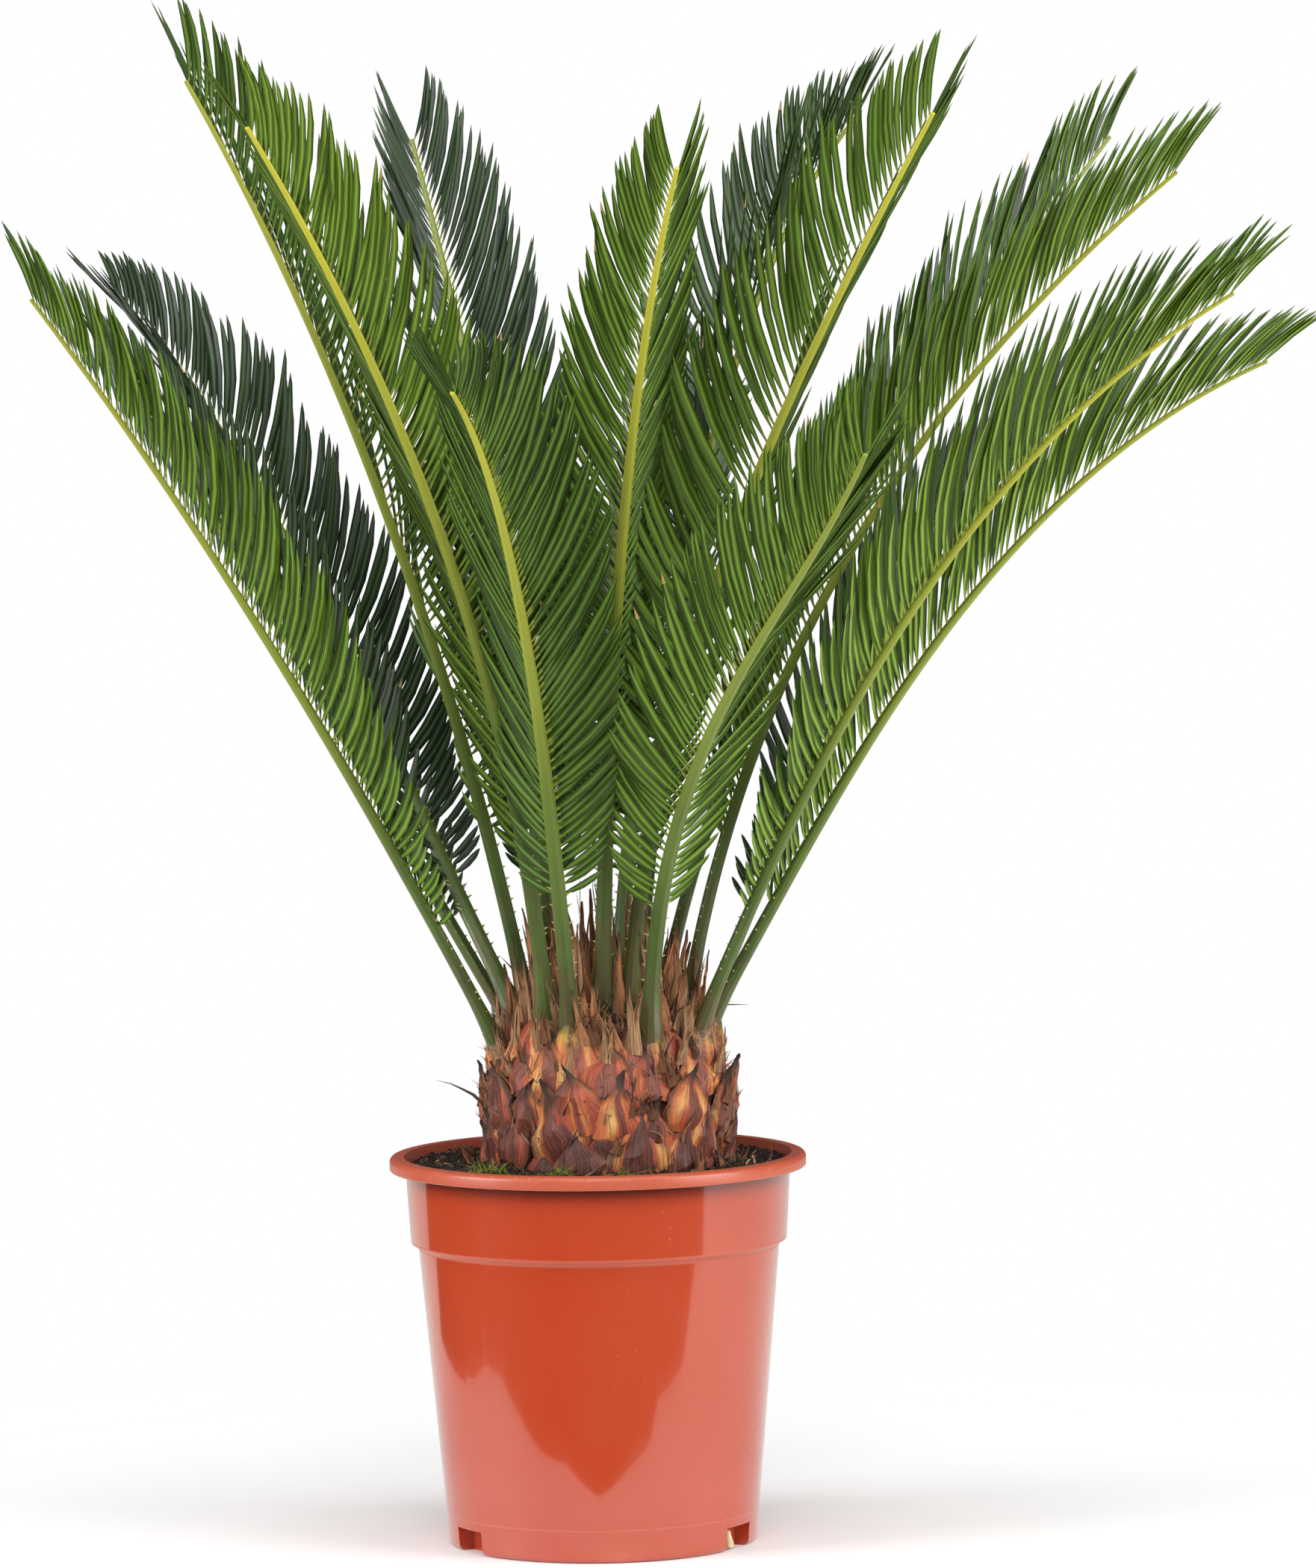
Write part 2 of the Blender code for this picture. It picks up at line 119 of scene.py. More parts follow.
class Wire:
    """A socket of a node tree that stands in an expression like a number."""

    __add__ = __radd__ = worked_out("ADD")
    __sub__ = worked_out("SUBTRACT")
    __rsub__ = worked_out("SUBTRACT", swapped=True)
    __mul__ = __rmul__ = worked_out("MULTIPLY")
    __truediv__ = worked_out("DIVIDE")
    __rtruediv__ = worked_out("DIVIDE", swapped=True)
    __pow__ = worked_out("POWER")
    __abs__ = worked_out("ABSOLUTE")
    __floor__ = worked_out("FLOOR")
    __mod__ = worked_out("MODULO")
    __gt__ = worked_out("GREATER_THAN")
    __lt__ = worked_out("LESS_THAN")
    at_least = worked_out("MAXIMUM")
    at_most = worked_out("MINIMUM")
    near = worked_out("COMPARE")
    fraction = worked_out("FRACT")
    sine = worked_out("SINE")
    cosine = worked_out("COSINE")

    def __init__(self, tree, socket=None):
        self.tree = tree
        self.socket = socket

    def __neg__(self):
        return self * -1.0

    def add(self, kind, settings=None, inputs=None, out=0):
        node = self.tree.nodes.new(kind)
        for name, value in (settings or {}).items():
            setattr(node, name, value)
        for name, value in (inputs or {}).items():
            socket = find_socket(node.inputs, name)
            if isinstance(value, Wire):
                self.tree.links.new(value.socket, socket)
            else:
                socket.default_value = value
        return Wire(self.tree, find_socket(node.outputs, out))

    def out(self, name):
        return Wire(self.tree, find_socket(self.socket.node.outputs, name))

    def axis(self, name):
        """One of a vector's three numbers."""
        return self.add("ShaderNodeSeparateXYZ", {}, {0: self}, name)

    def scaled(self, factor):
        settings, inputs = {"operation": "SCALE"}, {0: self, "Scale": factor}
        return self.add("ShaderNodeVectorMath", settings, inputs)

    def ramp(self, low, high, start=0.0, end=1.0):
        """A straight ramp from start, where the value is low, to end, where it is high."""
        inputs = {"Value": self, "From Min": low, "From Max": high, "To Min": start, "To Max": end}
        return self.add("ShaderNodeMapRange", {"clamp": True}, inputs)


def joined(x, y, z):
    """A vector from three numbers, of which at least one is a wire."""
    wire = next(value for value in (x, y, z) if isinstance(value, Wire))
    return wire.add("ShaderNodeCombineXYZ", {}, {0: x, 1: y, 2: z})


def total(first, *others):
    for other in others:
        first = first.add("ShaderNodeVectorMath", {"operation": "ADD"}, {0: first, 1: other})
    return first


# %% [markdown]
# ## Materials
# Every finish is a Principled shader. A number that is the same all over is set on the
# shader's own socket. What varies is an expression on noise, on Object coordinates or on
# an attribute of the mesh.

# %% Start a material
def new_material(name, **constants):
    """A material, the start of its tree, and a function that feeds its shader."""
    material = bpy.data.materials.new(name)
    material.use_nodes = True
    shader = material.node_tree.nodes["Principled BSDF"]
    for key, value in constants.items():
        shader.inputs[key.replace("_", " ")].default_value = value
    start = Wire(material.node_tree)

    def feed(key, wire):
        material.node_tree.links.new(wire.socket, shader.inputs[key])

    return material, start, feed


def fractal(start, scale, stretch=(1, 1, 1), detail=3.0, roughness=0.55):
    """Noise on Object coordinates, from 0 to 1, finer for a larger scale."""
    place = start.add("ShaderNodeTexCoord", out="Object")
    turned = place.add("ShaderNodeMapping", {}, {"Vector": place, "Scale": stretch})
    settings = {"noise_dimensions": "3D"}
    inputs = {"Vector": turned, "Scale": scale, "Detail": detail, "Roughness": roughness}
    return start.add("ShaderNodeTexNoise", settings, inputs)


def blended(factor, first, second):
    """The first colour where the factor is 0 and the second where it is 1."""
    first = first if isinstance(first, Wire) else (*first, 1.0)
    second = second if isinstance(second, Wire) else (*second, 1.0)
    inputs = {"Factor_Float": factor, "A_Color": first, "B_Color": second}
    return factor.add("ShaderNodeMix", {"data_type": "RGBA"}, inputs, "Result_Color")


def bumped(height, distance, strength):
    inputs = {"Height": height, "Distance": distance, "Strength": strength}
    return height.add("ShaderNodeBump", {}, inputs)


def grained(name, dark, light, grain, stops, relief, **constants):
    """A finish in two shades of one noise, which also makes its relief."""
    material, start, feed = new_material(name, **constants)
    field = fractal(start, *grain)
    feed("Base Color", blended(field.ramp(*stops), dark, light))
    feed("Normal", bumped(field, *relief))
    return material


def carried(start, name):
    """A number that the mesh carries as an attribute."""
    settings = {"attribute_name": name, "attribute_type": "GEOMETRY"}
    return start.add("ShaderNodeAttribute", settings, out="Fac")


# %% [markdown]
# ## Trees with named sizes
# A Geometry Nodes tree repeats one shape by a rule. Its sizes are named inputs, so the same
# tree grows all eighteen fronds. A modifier runs the tree on an empty mesh, the result is
# copied out as a plain mesh, and the modifier is taken off again.

# %% Make a tree and run it
# What a size may be, and the kind of socket that takes it
SOCKET_KINDS = {
    float: "NodeSocketFloat",
    int: "NodeSocketInt",
    Vector: "NodeSocketVector",
    bpy.types.Object: "NodeSocketObject",
    bpy.types.Collection: "NodeSocketCollection",
    bpy.types.Material: "NodeSocketMaterial",
    bpy.types.Mesh: "NodeSocketGeometry",
}


def new_tree(name, sizes):
    """A tree with an input for every name and type in sizes, and a wire from each input."""
    tree = bpy.data.node_groups.new(name, "GeometryNodeTree")
    for key, kind in sizes.items():
        tree.interface.new_socket(key, in_out="INPUT", socket_type=SOCKET_KINDS[kind])
    tree.interface.new_socket("Geometry", in_out="OUTPUT", socket_type="NodeSocketGeometry")
    entry = Wire(tree).add("NodeGroupInput")
    return tree, {key: entry.out(key) for key in sizes}


def end_tree(geometry):
    end = geometry.tree.nodes.new("NodeGroupOutput")
    geometry.tree.links.new(geometry.socket, end.inputs[0])


def put_in_scene(name, mesh):
    obj = bpy.data.objects.new(name, mesh)
    bpy.context.scene.collection.objects.link(obj)
    return obj


def grow(name, tree, sizes, ground=None):
    """Run the tree with these sizes and return its result as a plain object."""
    holder = put_in_scene(name, ground or bpy.data.meshes.new(name))
    modifier = holder.modifiers.new("grow", "NODES")
    modifier.node_group = tree
    for item in tree.interface.items_tree:
        if item.in_out == "INPUT" and item.name in sizes:
            value = sizes[item.name]
            modifier[item.identifier] = list(value) if isinstance(value, Vector) else value
    graph = bpy.context.evaluated_depsgraph_get()
    mesh = bpy.data.meshes.new_from_object(holder.evaluated_get(graph), depsgraph=graph)
    holder.modifiers.remove(modifier)
    holder.data = mesh
    return holder


def named(start, name, kind="FLOAT"):
    """An attribute that the tree stored earlier, or that the mesh already has."""
    return start.add("GeometryNodeInputNamedAttribute", {"data_type": kind}, {"Name": name})


def stored(geometry, name, value, kind="FLOAT"):
    inputs = {"Geometry": geometry, "Name": name, "Value": value}
    settings = {"data_type": kind, "domain": "POINT"}
    return geometry.add("GeometryNodeStoreNamedAttribute", settings, inputs)


def chance(start, low, high, seed):
    """A random number for each point, from low to high."""
    inputs = {"Min_001": low, "Max_001": high, "Seed": seed}
    return start.add("FunctionNodeRandomValue", {"data_type": "FLOAT"}, inputs, "Value_001")


def painted(geometry, material, chosen=None):
    inputs = {"Geometry": geometry, "Material": material}
    if chosen is not None:
        inputs["Selection"] = chosen
    return geometry.add("GeometryNodeSetMaterial", {}, inputs)


def realized(geometry):
    return geometry.add("GeometryNodeRealizeInstances", {}, {"Geometry": geometry})


def moved(geometry, **where):
    """The geometry with its points at a Position, or shifted by an Offset."""
    return geometry.add("GeometryNodeSetPosition", {}, {"Geometry": geometry, **where})


def set_on(points, blade, spin, scale, **picked):
    """A real copy of the blade on every point."""
    inputs = {"Points": points, "Instance": blade, "Rotation": spin, "Scale": scale, **picked}
    return realized(points.add("GeometryNodeInstanceOnPoints", {}, inputs))


def facing(up, out):
    """The rotation that turns a blade's length along one direction and its front to another."""
    settings = {"primary_axis": "Y", "secondary_axis": "Z"}
    inputs = {"Primary Axis": up, "Secondary Axis": out}
    return up.add("FunctionNodeAxesToRotation", settings, inputs)


# %% [markdown]
# ## Thin closed blades
# A leaflet, a trunk scale and a papery bract are all thin blades. Each is made as a grid of
# points on its front and another on its back, sewn together all round. Points that fall
# together are merged, so an edge can be sharp and a tip can be a point. The mesh keeps how
# far each point is along the blade and across it, for the materials.

# %% Sew a blade
MERGE = 0.00001
STRIP_APART = 3.0


def sewn_blade(name, front, back, rows, columns, part=None):
    """A closed blade from two functions of (along, across) that give points."""
    return sewn_tuft(name, [(front, back)], rows, columns, part)


def sewn_tuft(name, pairs, rows, columns, part=None):
    """Closed blades in one mesh, each from a pair of functions for its front and back."""
    bm = bmesh.new()
    reach = bm.verts.layers.float.new("reach")
    across = bm.verts.layers.float.new("across")
    kind = bm.faces.layers.int.new("part")

    def grid_of(side, shift):
        grid = []
        for t in rows:
            line = []
            for s in columns:
                vert = bm.verts.new(side(t, s))
                vert[reach] = t
                vert[across] = s + shift
                line.append(vert)
            grid.append(line)
        return grid

    def face(corners, is_front):
        made = bm.faces.new(corners)
        if part:
            s = sum(corner[across] for corner in corners) / len(corners)
            made[kind] = part(is_front, s)

    last_row, last_column = len(rows) - 1, len(columns) - 1
    for order, (front, back) in enumerate(pairs):
        top, under = grid_of(front, order * STRIP_APART), grid_of(back, order * STRIP_APART)
        for i in range(last_row):
            for j in range(last_column):
                face((top[i][j], top[i][j + 1], top[i + 1][j + 1], top[i + 1][j]), True)
                face((under[i][j], under[i + 1][j], under[i + 1][j + 1], under[i][j + 1]), False)
            face((top[i][0], top[i + 1][0], under[i + 1][0], under[i][0]), False)
            end = last_column
            face((top[i + 1][end], top[i][end], under[i][end], under[i + 1][end]), False)
        for j in range(last_column):
            face((top[0][j + 1], top[0][j], under[0][j], under[0][j + 1]), False)
            end = last_row
            face((top[end][j], top[end][j + 1], under[end][j + 1], under[end][j]), False)
    bmesh.ops.remove_doubles(bm, verts=bm.verts, dist=MERGE)
    mesh = bpy.data.meshes.new(name)
    bm.to_mesh(mesh)
    bm.free()
    return put_in_scene(name, mesh)


def between(value, places, heights):
    """Straight lines through (place, height) pairs."""
    for low, high, start, end in zip(places, places[1:], heights, heights[1:]):
        if value <= high:
            return start + (end - start) * (value - low) / (high - low)
    return heights[-1]


# %% [markdown]
# ## The rule of a frond
# Each frond is a rib with two rows of leaflets that stand up in a V. The solid model gives
# it by a few numbers: where its foot is on the crown, which way it turns, how it leans, its
# length and its twist. The same rule is written here again, as fields, so that the tree can
# follow it to finer leaflets.

# %% The fronds and the crown that they stand on
TRUNK_X = 0.005
BELLY_RADIUS = 0.058
BELLY_Z = 0.197
BELLY_CURVE = 12.3
CROWN_Z = 0.222
CROWN_RISE = 0.028
FOOT_HEIGHT = 0.006
FOOT_SUNK = 0.008
RIB_STEPS = 60
FOOT_HALF_WIDTH = 0.004
TIP_HALF_WIDTH = 0.0011

# Azimuth and radius of the foot, azimuth at foot and tip, lean at foot, middle and tip,
# length, twist, longest leaflet, share of bare stalk
FRONDS = {
    "frond_left_low": (188, 0.05, (212, 213), (30, 33, 40), 0.412, -18, 0.072, 0.15),
    "frond_left_rear": (172, 0.042, (129, 129), (40, 30, 60), 0.45, -8, 0.068, 0.16),
    "frond_left_tall": (161, 0.038, (206, 207), (12, 20, 31), 0.452, 14, 0.078, 0.18),
    "frond_left_fore": (228, 0.04, (232, 235), (7, 30, 44), 0.455, 8, 0.074, 0.16),
    "frond_fore_left": (249, 0.044, (257, 257), (17, 19, 67), 0.36, -5, 0.078, 0.17),
    "frond_fore_upright": (267, 0.028, (280, 284), (9, 22, 46), 0.42, 2, 0.066, 0.2),
    "frond_fore_right": (296, 0.046, (291, 294), (3, 79, 46), 0.37, -4, 0.078, 0.15),
    "frond_right_tall": (295, 0.026, (309, 306), (7, 40, 42), 0.46, -6, 0.08, 0.17),
    "frond_right_upper": (24, 0.04, (342, 343), (10, 34, 52), 0.452, 14, 0.078, 0.17),
    "frond_right_fore": (333, 0.047, (335, 338), (25, 29, 61), 0.425, 22, 0.08, 0.14),
    "frond_right_low": (8, 0.047, (353, 353), (30, 26, 67), 0.4, 6, 0.074, 0.15),
    "frond_rear_left": (148, 0.03, (112, 109), (-1, 37, 38), 0.44, -4, 0.079, 0.17),
    "frond_rear_upright": (62, 0.03, (57, 54), (10, 12, 56), 0.46, -24, 0.08, 0.18),
    "frond_rear_right": (42, 0.034, (31, 31), (14, 42, 43), 0.47, -28, 0.076, 0.18),
    "frond_rear_arched_left": (118, 0.046, (103, 103), (24, 52, 76), 0.4, 0, 0.07, 0.16),
    "frond_rear_arched_right": (84, 0.046, (80, 80), (20, 50, 78), 0.42, 0, 0.07, 0.16),
    "frond_left_low_rear": (146, 0.05, (159, 159), (33, 28, 38), 0.365, 0, 0.066, 0.16),
    "frond_right_low_rear": (32, 0.05, (19, 19), (24, 27, 58), 0.38, 0, 0.066, 0.16),
}


def outward(azimuth):
    return Vector((math.cos(azimuth), math.sin(azimuth), 0.0))


def beside_trunk(out, away, z):
    """The place at this distance from the trunk's axis and at this height."""
    return Vector((TRUNK_X, 0.0, z)) + out * away


def barrel_radius(z):
    return BELLY_RADIUS - BELLY_CURVE * (z - BELLY_Z) ** 2


def crown_height(radius):
    share = min(radius / barrel_radius(CROWN_Z), 1.0)
    return CROWN_Z + CROWN_RISE * math.sqrt(1.0 - share ** 2)


def foot_of(frond):
    radius = frond[1]
    return beside_trunk(outward(math.radians(frond[0])), radius, crown_height(radius) + FOOT_HEIGHT)


RIB_NUMBERS = (
    "Azimuth foot", "Azimuth tip", "Lean foot", "Lean middle", "Lean tip", "Length", "Twist",
    "Longest leaflet", "Bare share",
)
RIB_SIZES = {"Foot": Vector, **{name: float for name in RIB_NUMBERS}}


def rib_sizes(frond):
    """The frond's numbers under the names of the tree's inputs, with angles in radians."""
    turn = [math.radians(angle) for angle in frond[2]]
    lean = [math.radians(angle) for angle in frond[3]]
    values = (foot_of(frond), *turn, *lean, frond[4], math.radians(frond[5]), frond[6], frond[7])
    return dict(zip(RIB_SIZES, values))


print("fronds:", len(FRONDS))

# %% The rule as fields
def lean_field(size, share):
    rest = 1 - share
    foot = rest * rest * size["Lean foot"]
    middle = 2 * share * rest * size["Lean middle"]
    return foot + middle + share * share * size["Lean tip"]


def rib_fields(size, share):
    """The rib's own directions at a share of its length: forward, upper side and side."""
    tilt = lean_field(size, share)
    turn = size["Azimuth foot"] + (size["Azimuth tip"] - size["Azimuth foot"]) * share
    sin_tilt, cos_tilt, sin_turn, cos_turn = tilt.sine(), tilt.cosine(), turn.sine(), turn.cosine()
    forward = joined(cos_turn * sin_tilt, sin_turn * sin_tilt, cos_tilt)
    upper = joined(-cos_turn * cos_tilt, -sin_turn * cos_tilt, sin_tilt)
    side = joined(sin_turn, -cos_turn, 0.0)
    roll = size["Twist"]
    sin_roll, cos_roll = roll.sine(), roll.cosine()
    rolled_upper = total(upper.scaled(cos_roll), side.scaled(sin_roll))
    rolled_side = total(side.scaled(cos_roll), upper.scaled(-sin_roll))
    return forward, rolled_upper, rolled_side


def rib_curve(size):
    """The rib as a line of equal steps, each along the rule's forward direction."""
    start = size["Length"]
    line = start.add("GeometryNodeMeshLine", {}, {"Count": RIB_STEPS + 1})
    middle = (start.add("GeometryNodeInputIndex") + 0.5) / RIB_STEPS
    step = rib_fields(size, middle)[0].scaled(size["Length"] / RIB_STEPS)
    settings = {"data_type": "FLOAT_VECTOR"}
    travelled = start.add("GeometryNodeAccumulateField", settings, {"Value": step}, "Trailing")
    line = moved(line, Position=total(travelled, size["Foot"]))
    return line.add("GeometryNodeMeshToCurve", {}, {"Mesh": line})


def rib_place(curve, share):
    inputs = {"Curves": curve, "Factor": share}
    return curve.add("GeometryNodeSampleCurve", {"mode": "FACTOR"}, inputs, "Position")


def half_width_field(share):
    return FOOT_HALF_WIDTH + (TIP_HALF_WIDTH - FOOT_HALF_WIDTH) * share


def two_rows(start, count):
    """Points for both edges of a rib, the side that each is on and its place in its row."""
    points = start.add("GeometryNodePoints", {}, {"Count": count * 2})
    number = start.add("GeometryNodeInputIndex")
    return points, 2 * (number < count) - 1, number % count


# %% [markdown]
# ## Leaflets
# A leaflet is about 4 mm wide and up to 80 mm long. Its edges roll down, so its back has a
# light keel between two dark grooves. It is dark and glossy above and fresher below. It
# could be drawn on a flat card, but then the gaps between leaflets would not be real. Here
# one blade of about 60 faces is set along the rib 80 times a side. The blade is 1 unit long
# and 1 unit wide, and the tree stretches it to each leaflet's size.

# %% One leaflet
LEAFLET_ROWS = (0.0, 0.06, 0.18, 0.45, 0.74, 0.91, 1.0)
LEAFLET_COLUMNS = (-1.0, -0.58, -0.13, 0.13, 0.58, 1.0)
LEAFLET_HALF_WIDTHS = (0.09, 0.17, 0.37, 0.5, 0.45, 0.25, 0.0)
LEAFLET_FALL = 0.3
LEAFLET_DEPTH = 0.13
MIDRIB_STANDS = 0.03
UPPER, UPPER_EDGE, MIDRIB, UNDER, UNDER_EDGE, UNDER_MIDRIB = range(6)


def leaflet_front(t, s):
    half = between(t, LEAFLET_ROWS, LEAFLET_HALF_WIDTHS)
    crest = MIDRIB_STANDS * 2 * half * (abs(s) < 0.5)
    return (half * s, t, crest - LEAFLET_FALL * 2 * half * s * s)


def leaflet_back(t, s):
    half = between(t, LEAFLET_ROWS, LEAFLET_HALF_WIDTHS)
    if abs(s) == 1.0:
        return leaflet_front(t, s)
    depth = LEAFLET_DEPTH if abs(s) < 0.5 else 0.02
    return (half * s, t, -depth * 2 * half - LEAFLET_FALL * 2 * half * s * s)


def leaflet_part(is_front, s):
    across = abs(s)
    if across < 0.1:
        return MIDRIB if is_front else UNDER_MIDRIB
    if across > 0.6:
        return UPPER_EDGE if is_front else UNDER_EDGE
    return UPPER if is_front else UNDER


leaflet = sewn_blade(
    "leaflet blade", leaflet_front, leaflet_back, LEAFLET_ROWS, LEAFLET_COLUMNS, leaflet_part
)
print("faces of a leaflet:", len(leaflet.data.polygons))

# %% [markdown]
# ## Rows of leaflets
# The tree makes a point for each leaflet and works out where the rule points it. The
# leaflets are short at the stalk, longest at the middle and short again at the tip, and
# they close up towards the tip. Each leaflet also bows towards the tip of its frond and
# sags a little. The bow is added once the blades are real, from the stored attributes.

# %% The tree of a frond's leaflets
LEAFLETS_A_SIDE = 80
LEAFLET_WIDTH = 0.0042
LEAFLET_ROLL = math.radians(14)
LEAFLET_BOW = math.tan(math.radians(12))
DRIFT_WAVES = 9.0
ROWS_APART = 31.0
SEEDS_APART = 1.7
KEELS_APART = 57.0
ANGLE_CHANCE = 0.04
KEEL_CHANCE = 0.07
SEAT_OUT = 0.55
SEAT_UP = 0.35
ANGLE_DRIFT = 0.3
KEEL_DRIFT = 0.55
LEAFLET_SAG = 0.03


def leaflet_length(longest, share):
    """Leaflets grow quickly from short ones at the stalk and shorten again at the tip."""
    climb = (share / 0.55).at_most(1.0) * (math.pi / 2)
    rise = 0.26 + 0.74 * climb.sine() ** 0.9
    beyond = ((share - 0.55) / 0.45).at_least(0.0)
    return longest * rise * (1 - 0.48 * beyond * beyond)


def leaflet_angle(share):
    """Angle between leaflet and rib: wide at the stalk, closed at the tip."""
    beyond = ((share - 0.8) / 0.2).at_least(0.0)
    return (64 - 40 * share ** 0.6 - 4 * beyond ** 1.5) * math.radians(1)


def keel_angle(share):
    """How far each row stands up from the plane of the frond."""
    return (50 - 26 * (1 - share / 0.35).at_least(0.0)) * math.radians(1)


# Material, the faces that it is for, and whether only some leaflets have it
LEAFLET_PARTS = (
    ("Upper other", UPPER, True),
    ("Upper edge", UPPER_EDGE, False),
    ("Midrib", MIDRIB, False),
    ("Under", UNDER, False),
    ("Under other", UNDER, True),
    ("Under edge", UNDER_EDGE, False),
    ("Under midrib", UNDER_MIDRIB, False),
)
LEAFLET_MATERIALS = ("Upper", *(name for name, _, _ in LEAFLET_PARTS), "Leaflet foot", "Dry tip")
OTHER_ABOVE = 0.62
LEAFLET_FOOT_SHARE = 0.05
DRY_TIP_SHARE = 0.9
DRY_TIP_CHANCE = 0.02


def drift(start, row_place):
    """Slow noise along a row, from -0.5 to 0.5, so that neighbours lean together."""
    inputs = {"W": row_place, "Scale": 1.0, "Detail": 1.0}
    return start.add("ShaderNodeTexNoise", {"noise_dimensions": "1D"}, inputs) - 0.5


def leaflet_tree():
    sizes = {**RIB_SIZES, "Leaflets a side": int, "Leaflet width": float, "Seed": int}
    sizes.update({"Blade": bpy.types.Object})
    sizes.update({name: bpy.types.Material for name in LEAFLET_MATERIALS})
    tree, size = new_tree("leaflet rows", sizes)
    start, seed, count = size["Length"], size["Seed"], size["Leaflets a side"]
    seats, hand, place = two_rows(start, count)
    along = (place + 0.5 + chance(start, -0.3, 0.3, seed)) / count
    share = size["Bare share"] + (1 - size["Bare share"]) * along
    forward, upper, side = rib_fields(size, share)

    row_place = along * DRIFT_WAVES + hand * ROWS_APART + seed * SEEDS_APART
    angle = leaflet_angle(along) + chance(start, -ANGLE_CHANCE, ANGLE_CHANCE, seed + 1)
    angle = angle + drift(start, row_place) * ANGLE_DRIFT
    keel = keel_angle(along) + chance(start, -KEEL_CHANCE, KEEL_CHANCE, seed + 2)
    keel = keel + drift(start, row_place + KEELS_APART) * KEEL_DRIFT
    sin_keel, cos_keel, sin_angle, cos_angle = keel.sine(), keel.cosine(), angle.sine(), angle.cosine()
    aside = total(side.scaled(hand * cos_keel), upper.scaled(sin_keel))
    above = total(upper.scaled(cos_keel), side.scaled(-(hand * sin_keel)))
    direction = total(forward.scaled(cos_angle), aside.scaled(sin_angle))
    backward = total(aside.scaled(cos_angle), forward.scaled(-sin_angle))
    rolled = total(above.scaled(math.cos(LEAFLET_ROLL)), backward.scaled(math.sin(LEAFLET_ROLL)))

    half = half_width_field(share)
    middle = rib_place(rib_curve(size), share)
    beside, over = side.scaled(hand * half * SEAT_OUT), upper.scaled(half * SEAT_UP)
    seats = moved(seats, Position=total(middle, beside, over))
    length = leaflet_length(size["Longest leaflet"], along) * chance(start, 0.95, 1.03, seed + 3)
    width = size["Leaflet width"] * (1 - 0.38 * along ** 3) * along.ramp(0.0, 0.12, 0.75, 1.0)
    fall = length * chance(start, 0.0, 2 * LEAFLET_SAG, seed + 4)
    seats = stored(seats, "bow", backward.scaled(length * LEAFLET_BOW), "FLOAT_VECTOR")
    seats = stored(seats, "sag", above.scaled(-fall), "FLOAT_VECTOR")
    seats = stored(seats, "pick", chance(start, 0.0, 1.0, seed + 5))
    blade = start.add("GeometryNodeObjectInfo", {}, {"Object": size["Blade"]}, "Geometry")
    blades = set_on(seats, blade, facing(direction, rolled), joined(width, length, width))

    reach, part, pick = named(start, "reach"), named(start, "part", "INT"), named(start, "pick")
    bow = named(start, "bow", "FLOAT_VECTOR").scaled(reach - reach * reach)
    sag = named(start, "sag", "FLOAT_VECTOR").scaled(reach * reach)
    blades = painted(moved(blades, Offset=total(bow, sag)), size["Upper"])
    for name, kind, only_some in LEAFLET_PARTS:
        chosen = part.near(kind, 0.1)
        blades = painted(blades, size[name], chosen * (pick > OTHER_ABOVE) if only_some else chosen)
    blades = painted(blades, size["Leaflet foot"], reach < LEAFLET_FOOT_SHARE)
    end_tree(painted(blades, size["Dry tip"], (reach > DRY_TIP_SHARE) * (pick < DRY_TIP_CHANCE)))
    return tree


leaflet_rows = leaflet_tree()
print("nodes in the leaflet tree:", len(leaflet_rows.nodes))

# %% [markdown]
# ## Greens
# The leaflets are too fine for a pattern, so each kind of face has a plain colour and the
# variety comes from dealing a few greens out among the fronds. Seen from above, a frond is
# a deep blue-green, and its underside is fresher and yellower. Which greens a frond gets
# also follows how much light falls on it: the shaded fronds get darker greens and the lit
# ones brighter, a painted shade and light.

# %% Leaf greens
UPPER_GREENS = {
    "deep": (0.016, 0.036, 0.01),
    "dark": (0.024, 0.052, 0.01),
    "leaf": (0.036, 0.08, 0.01),
    "fresh": (0.06, 0.125, 0.011),
    "bright": (0.09, 0.165, 0.013),
}
UNDER_GREENS = {
    "deep": (0.03, 0.062, 0.013),
    "dark": (0.044, 0.09, 0.013),
    "leaf": (0.064, 0.128, 0.013),
    "fresh": (0.09, 0.17, 0.014),
    "bright": (0.125, 0.215, 0.018),
}
MIDRIB_LIFT = 2.0
# Share of the green left on each leaflet's edge strips: painted shade between the leaflets
EDGE_SHADE = 0.52


def toned(colour, factor):
    return tuple(min(channel * factor, 1.0) for channel in colour)


def leaf_material(name, colour, roughness, specular, coat=0.0):
    return new_material(
        name,
        Base_Color=(*colour, 1.0),
        Roughness=roughness,
        Specular_IOR_Level=specular,
        Coat_Weight=coat,
        Coat_Roughness=0.25,
    )[0]


GREENS = {}
for shade in UPPER_GREENS:
    above, below = UPPER_GREENS[shade], UNDER_GREENS[shade]
    GREENS[shade] = {
        "Upper": leaf_material(f"leaf upper {shade}", above, 0.38, 0.45, 0.2),
        # The edge strips, above and below, are painted darker: painted shade between the leaflets.
        "Upper edge": leaf_material(f"leaf edge {shade}", toned(above, EDGE_SHADE), 0.38, 0.45, 0.2),
        "Midrib": leaf_material(f"leaf midrib {shade}", toned(above, MIDRIB_LIFT), 0.42, 0.45),
        "Under": leaf_material(f"leaf under {shade}", below, 0.5, 0.3),
        "Under edge": leaf_material(f"leaf under edge {shade}", toned(below, EDGE_SHADE), 0.5, 0.3),
        "Under midrib": leaf_material(f"leaf keel {shade}", toned(below, MIDRIB_LIFT), 0.5, 0.3),
    }

LEAFLET_FOOT = leaf_material("leaflet foot", (0.21, 0.25, 0.032), 0.5, 0.3)
DRY_TIP = leaf_material("dry leaf tip", (0.42, 0.27, 0.11), 0.7, 0.3)
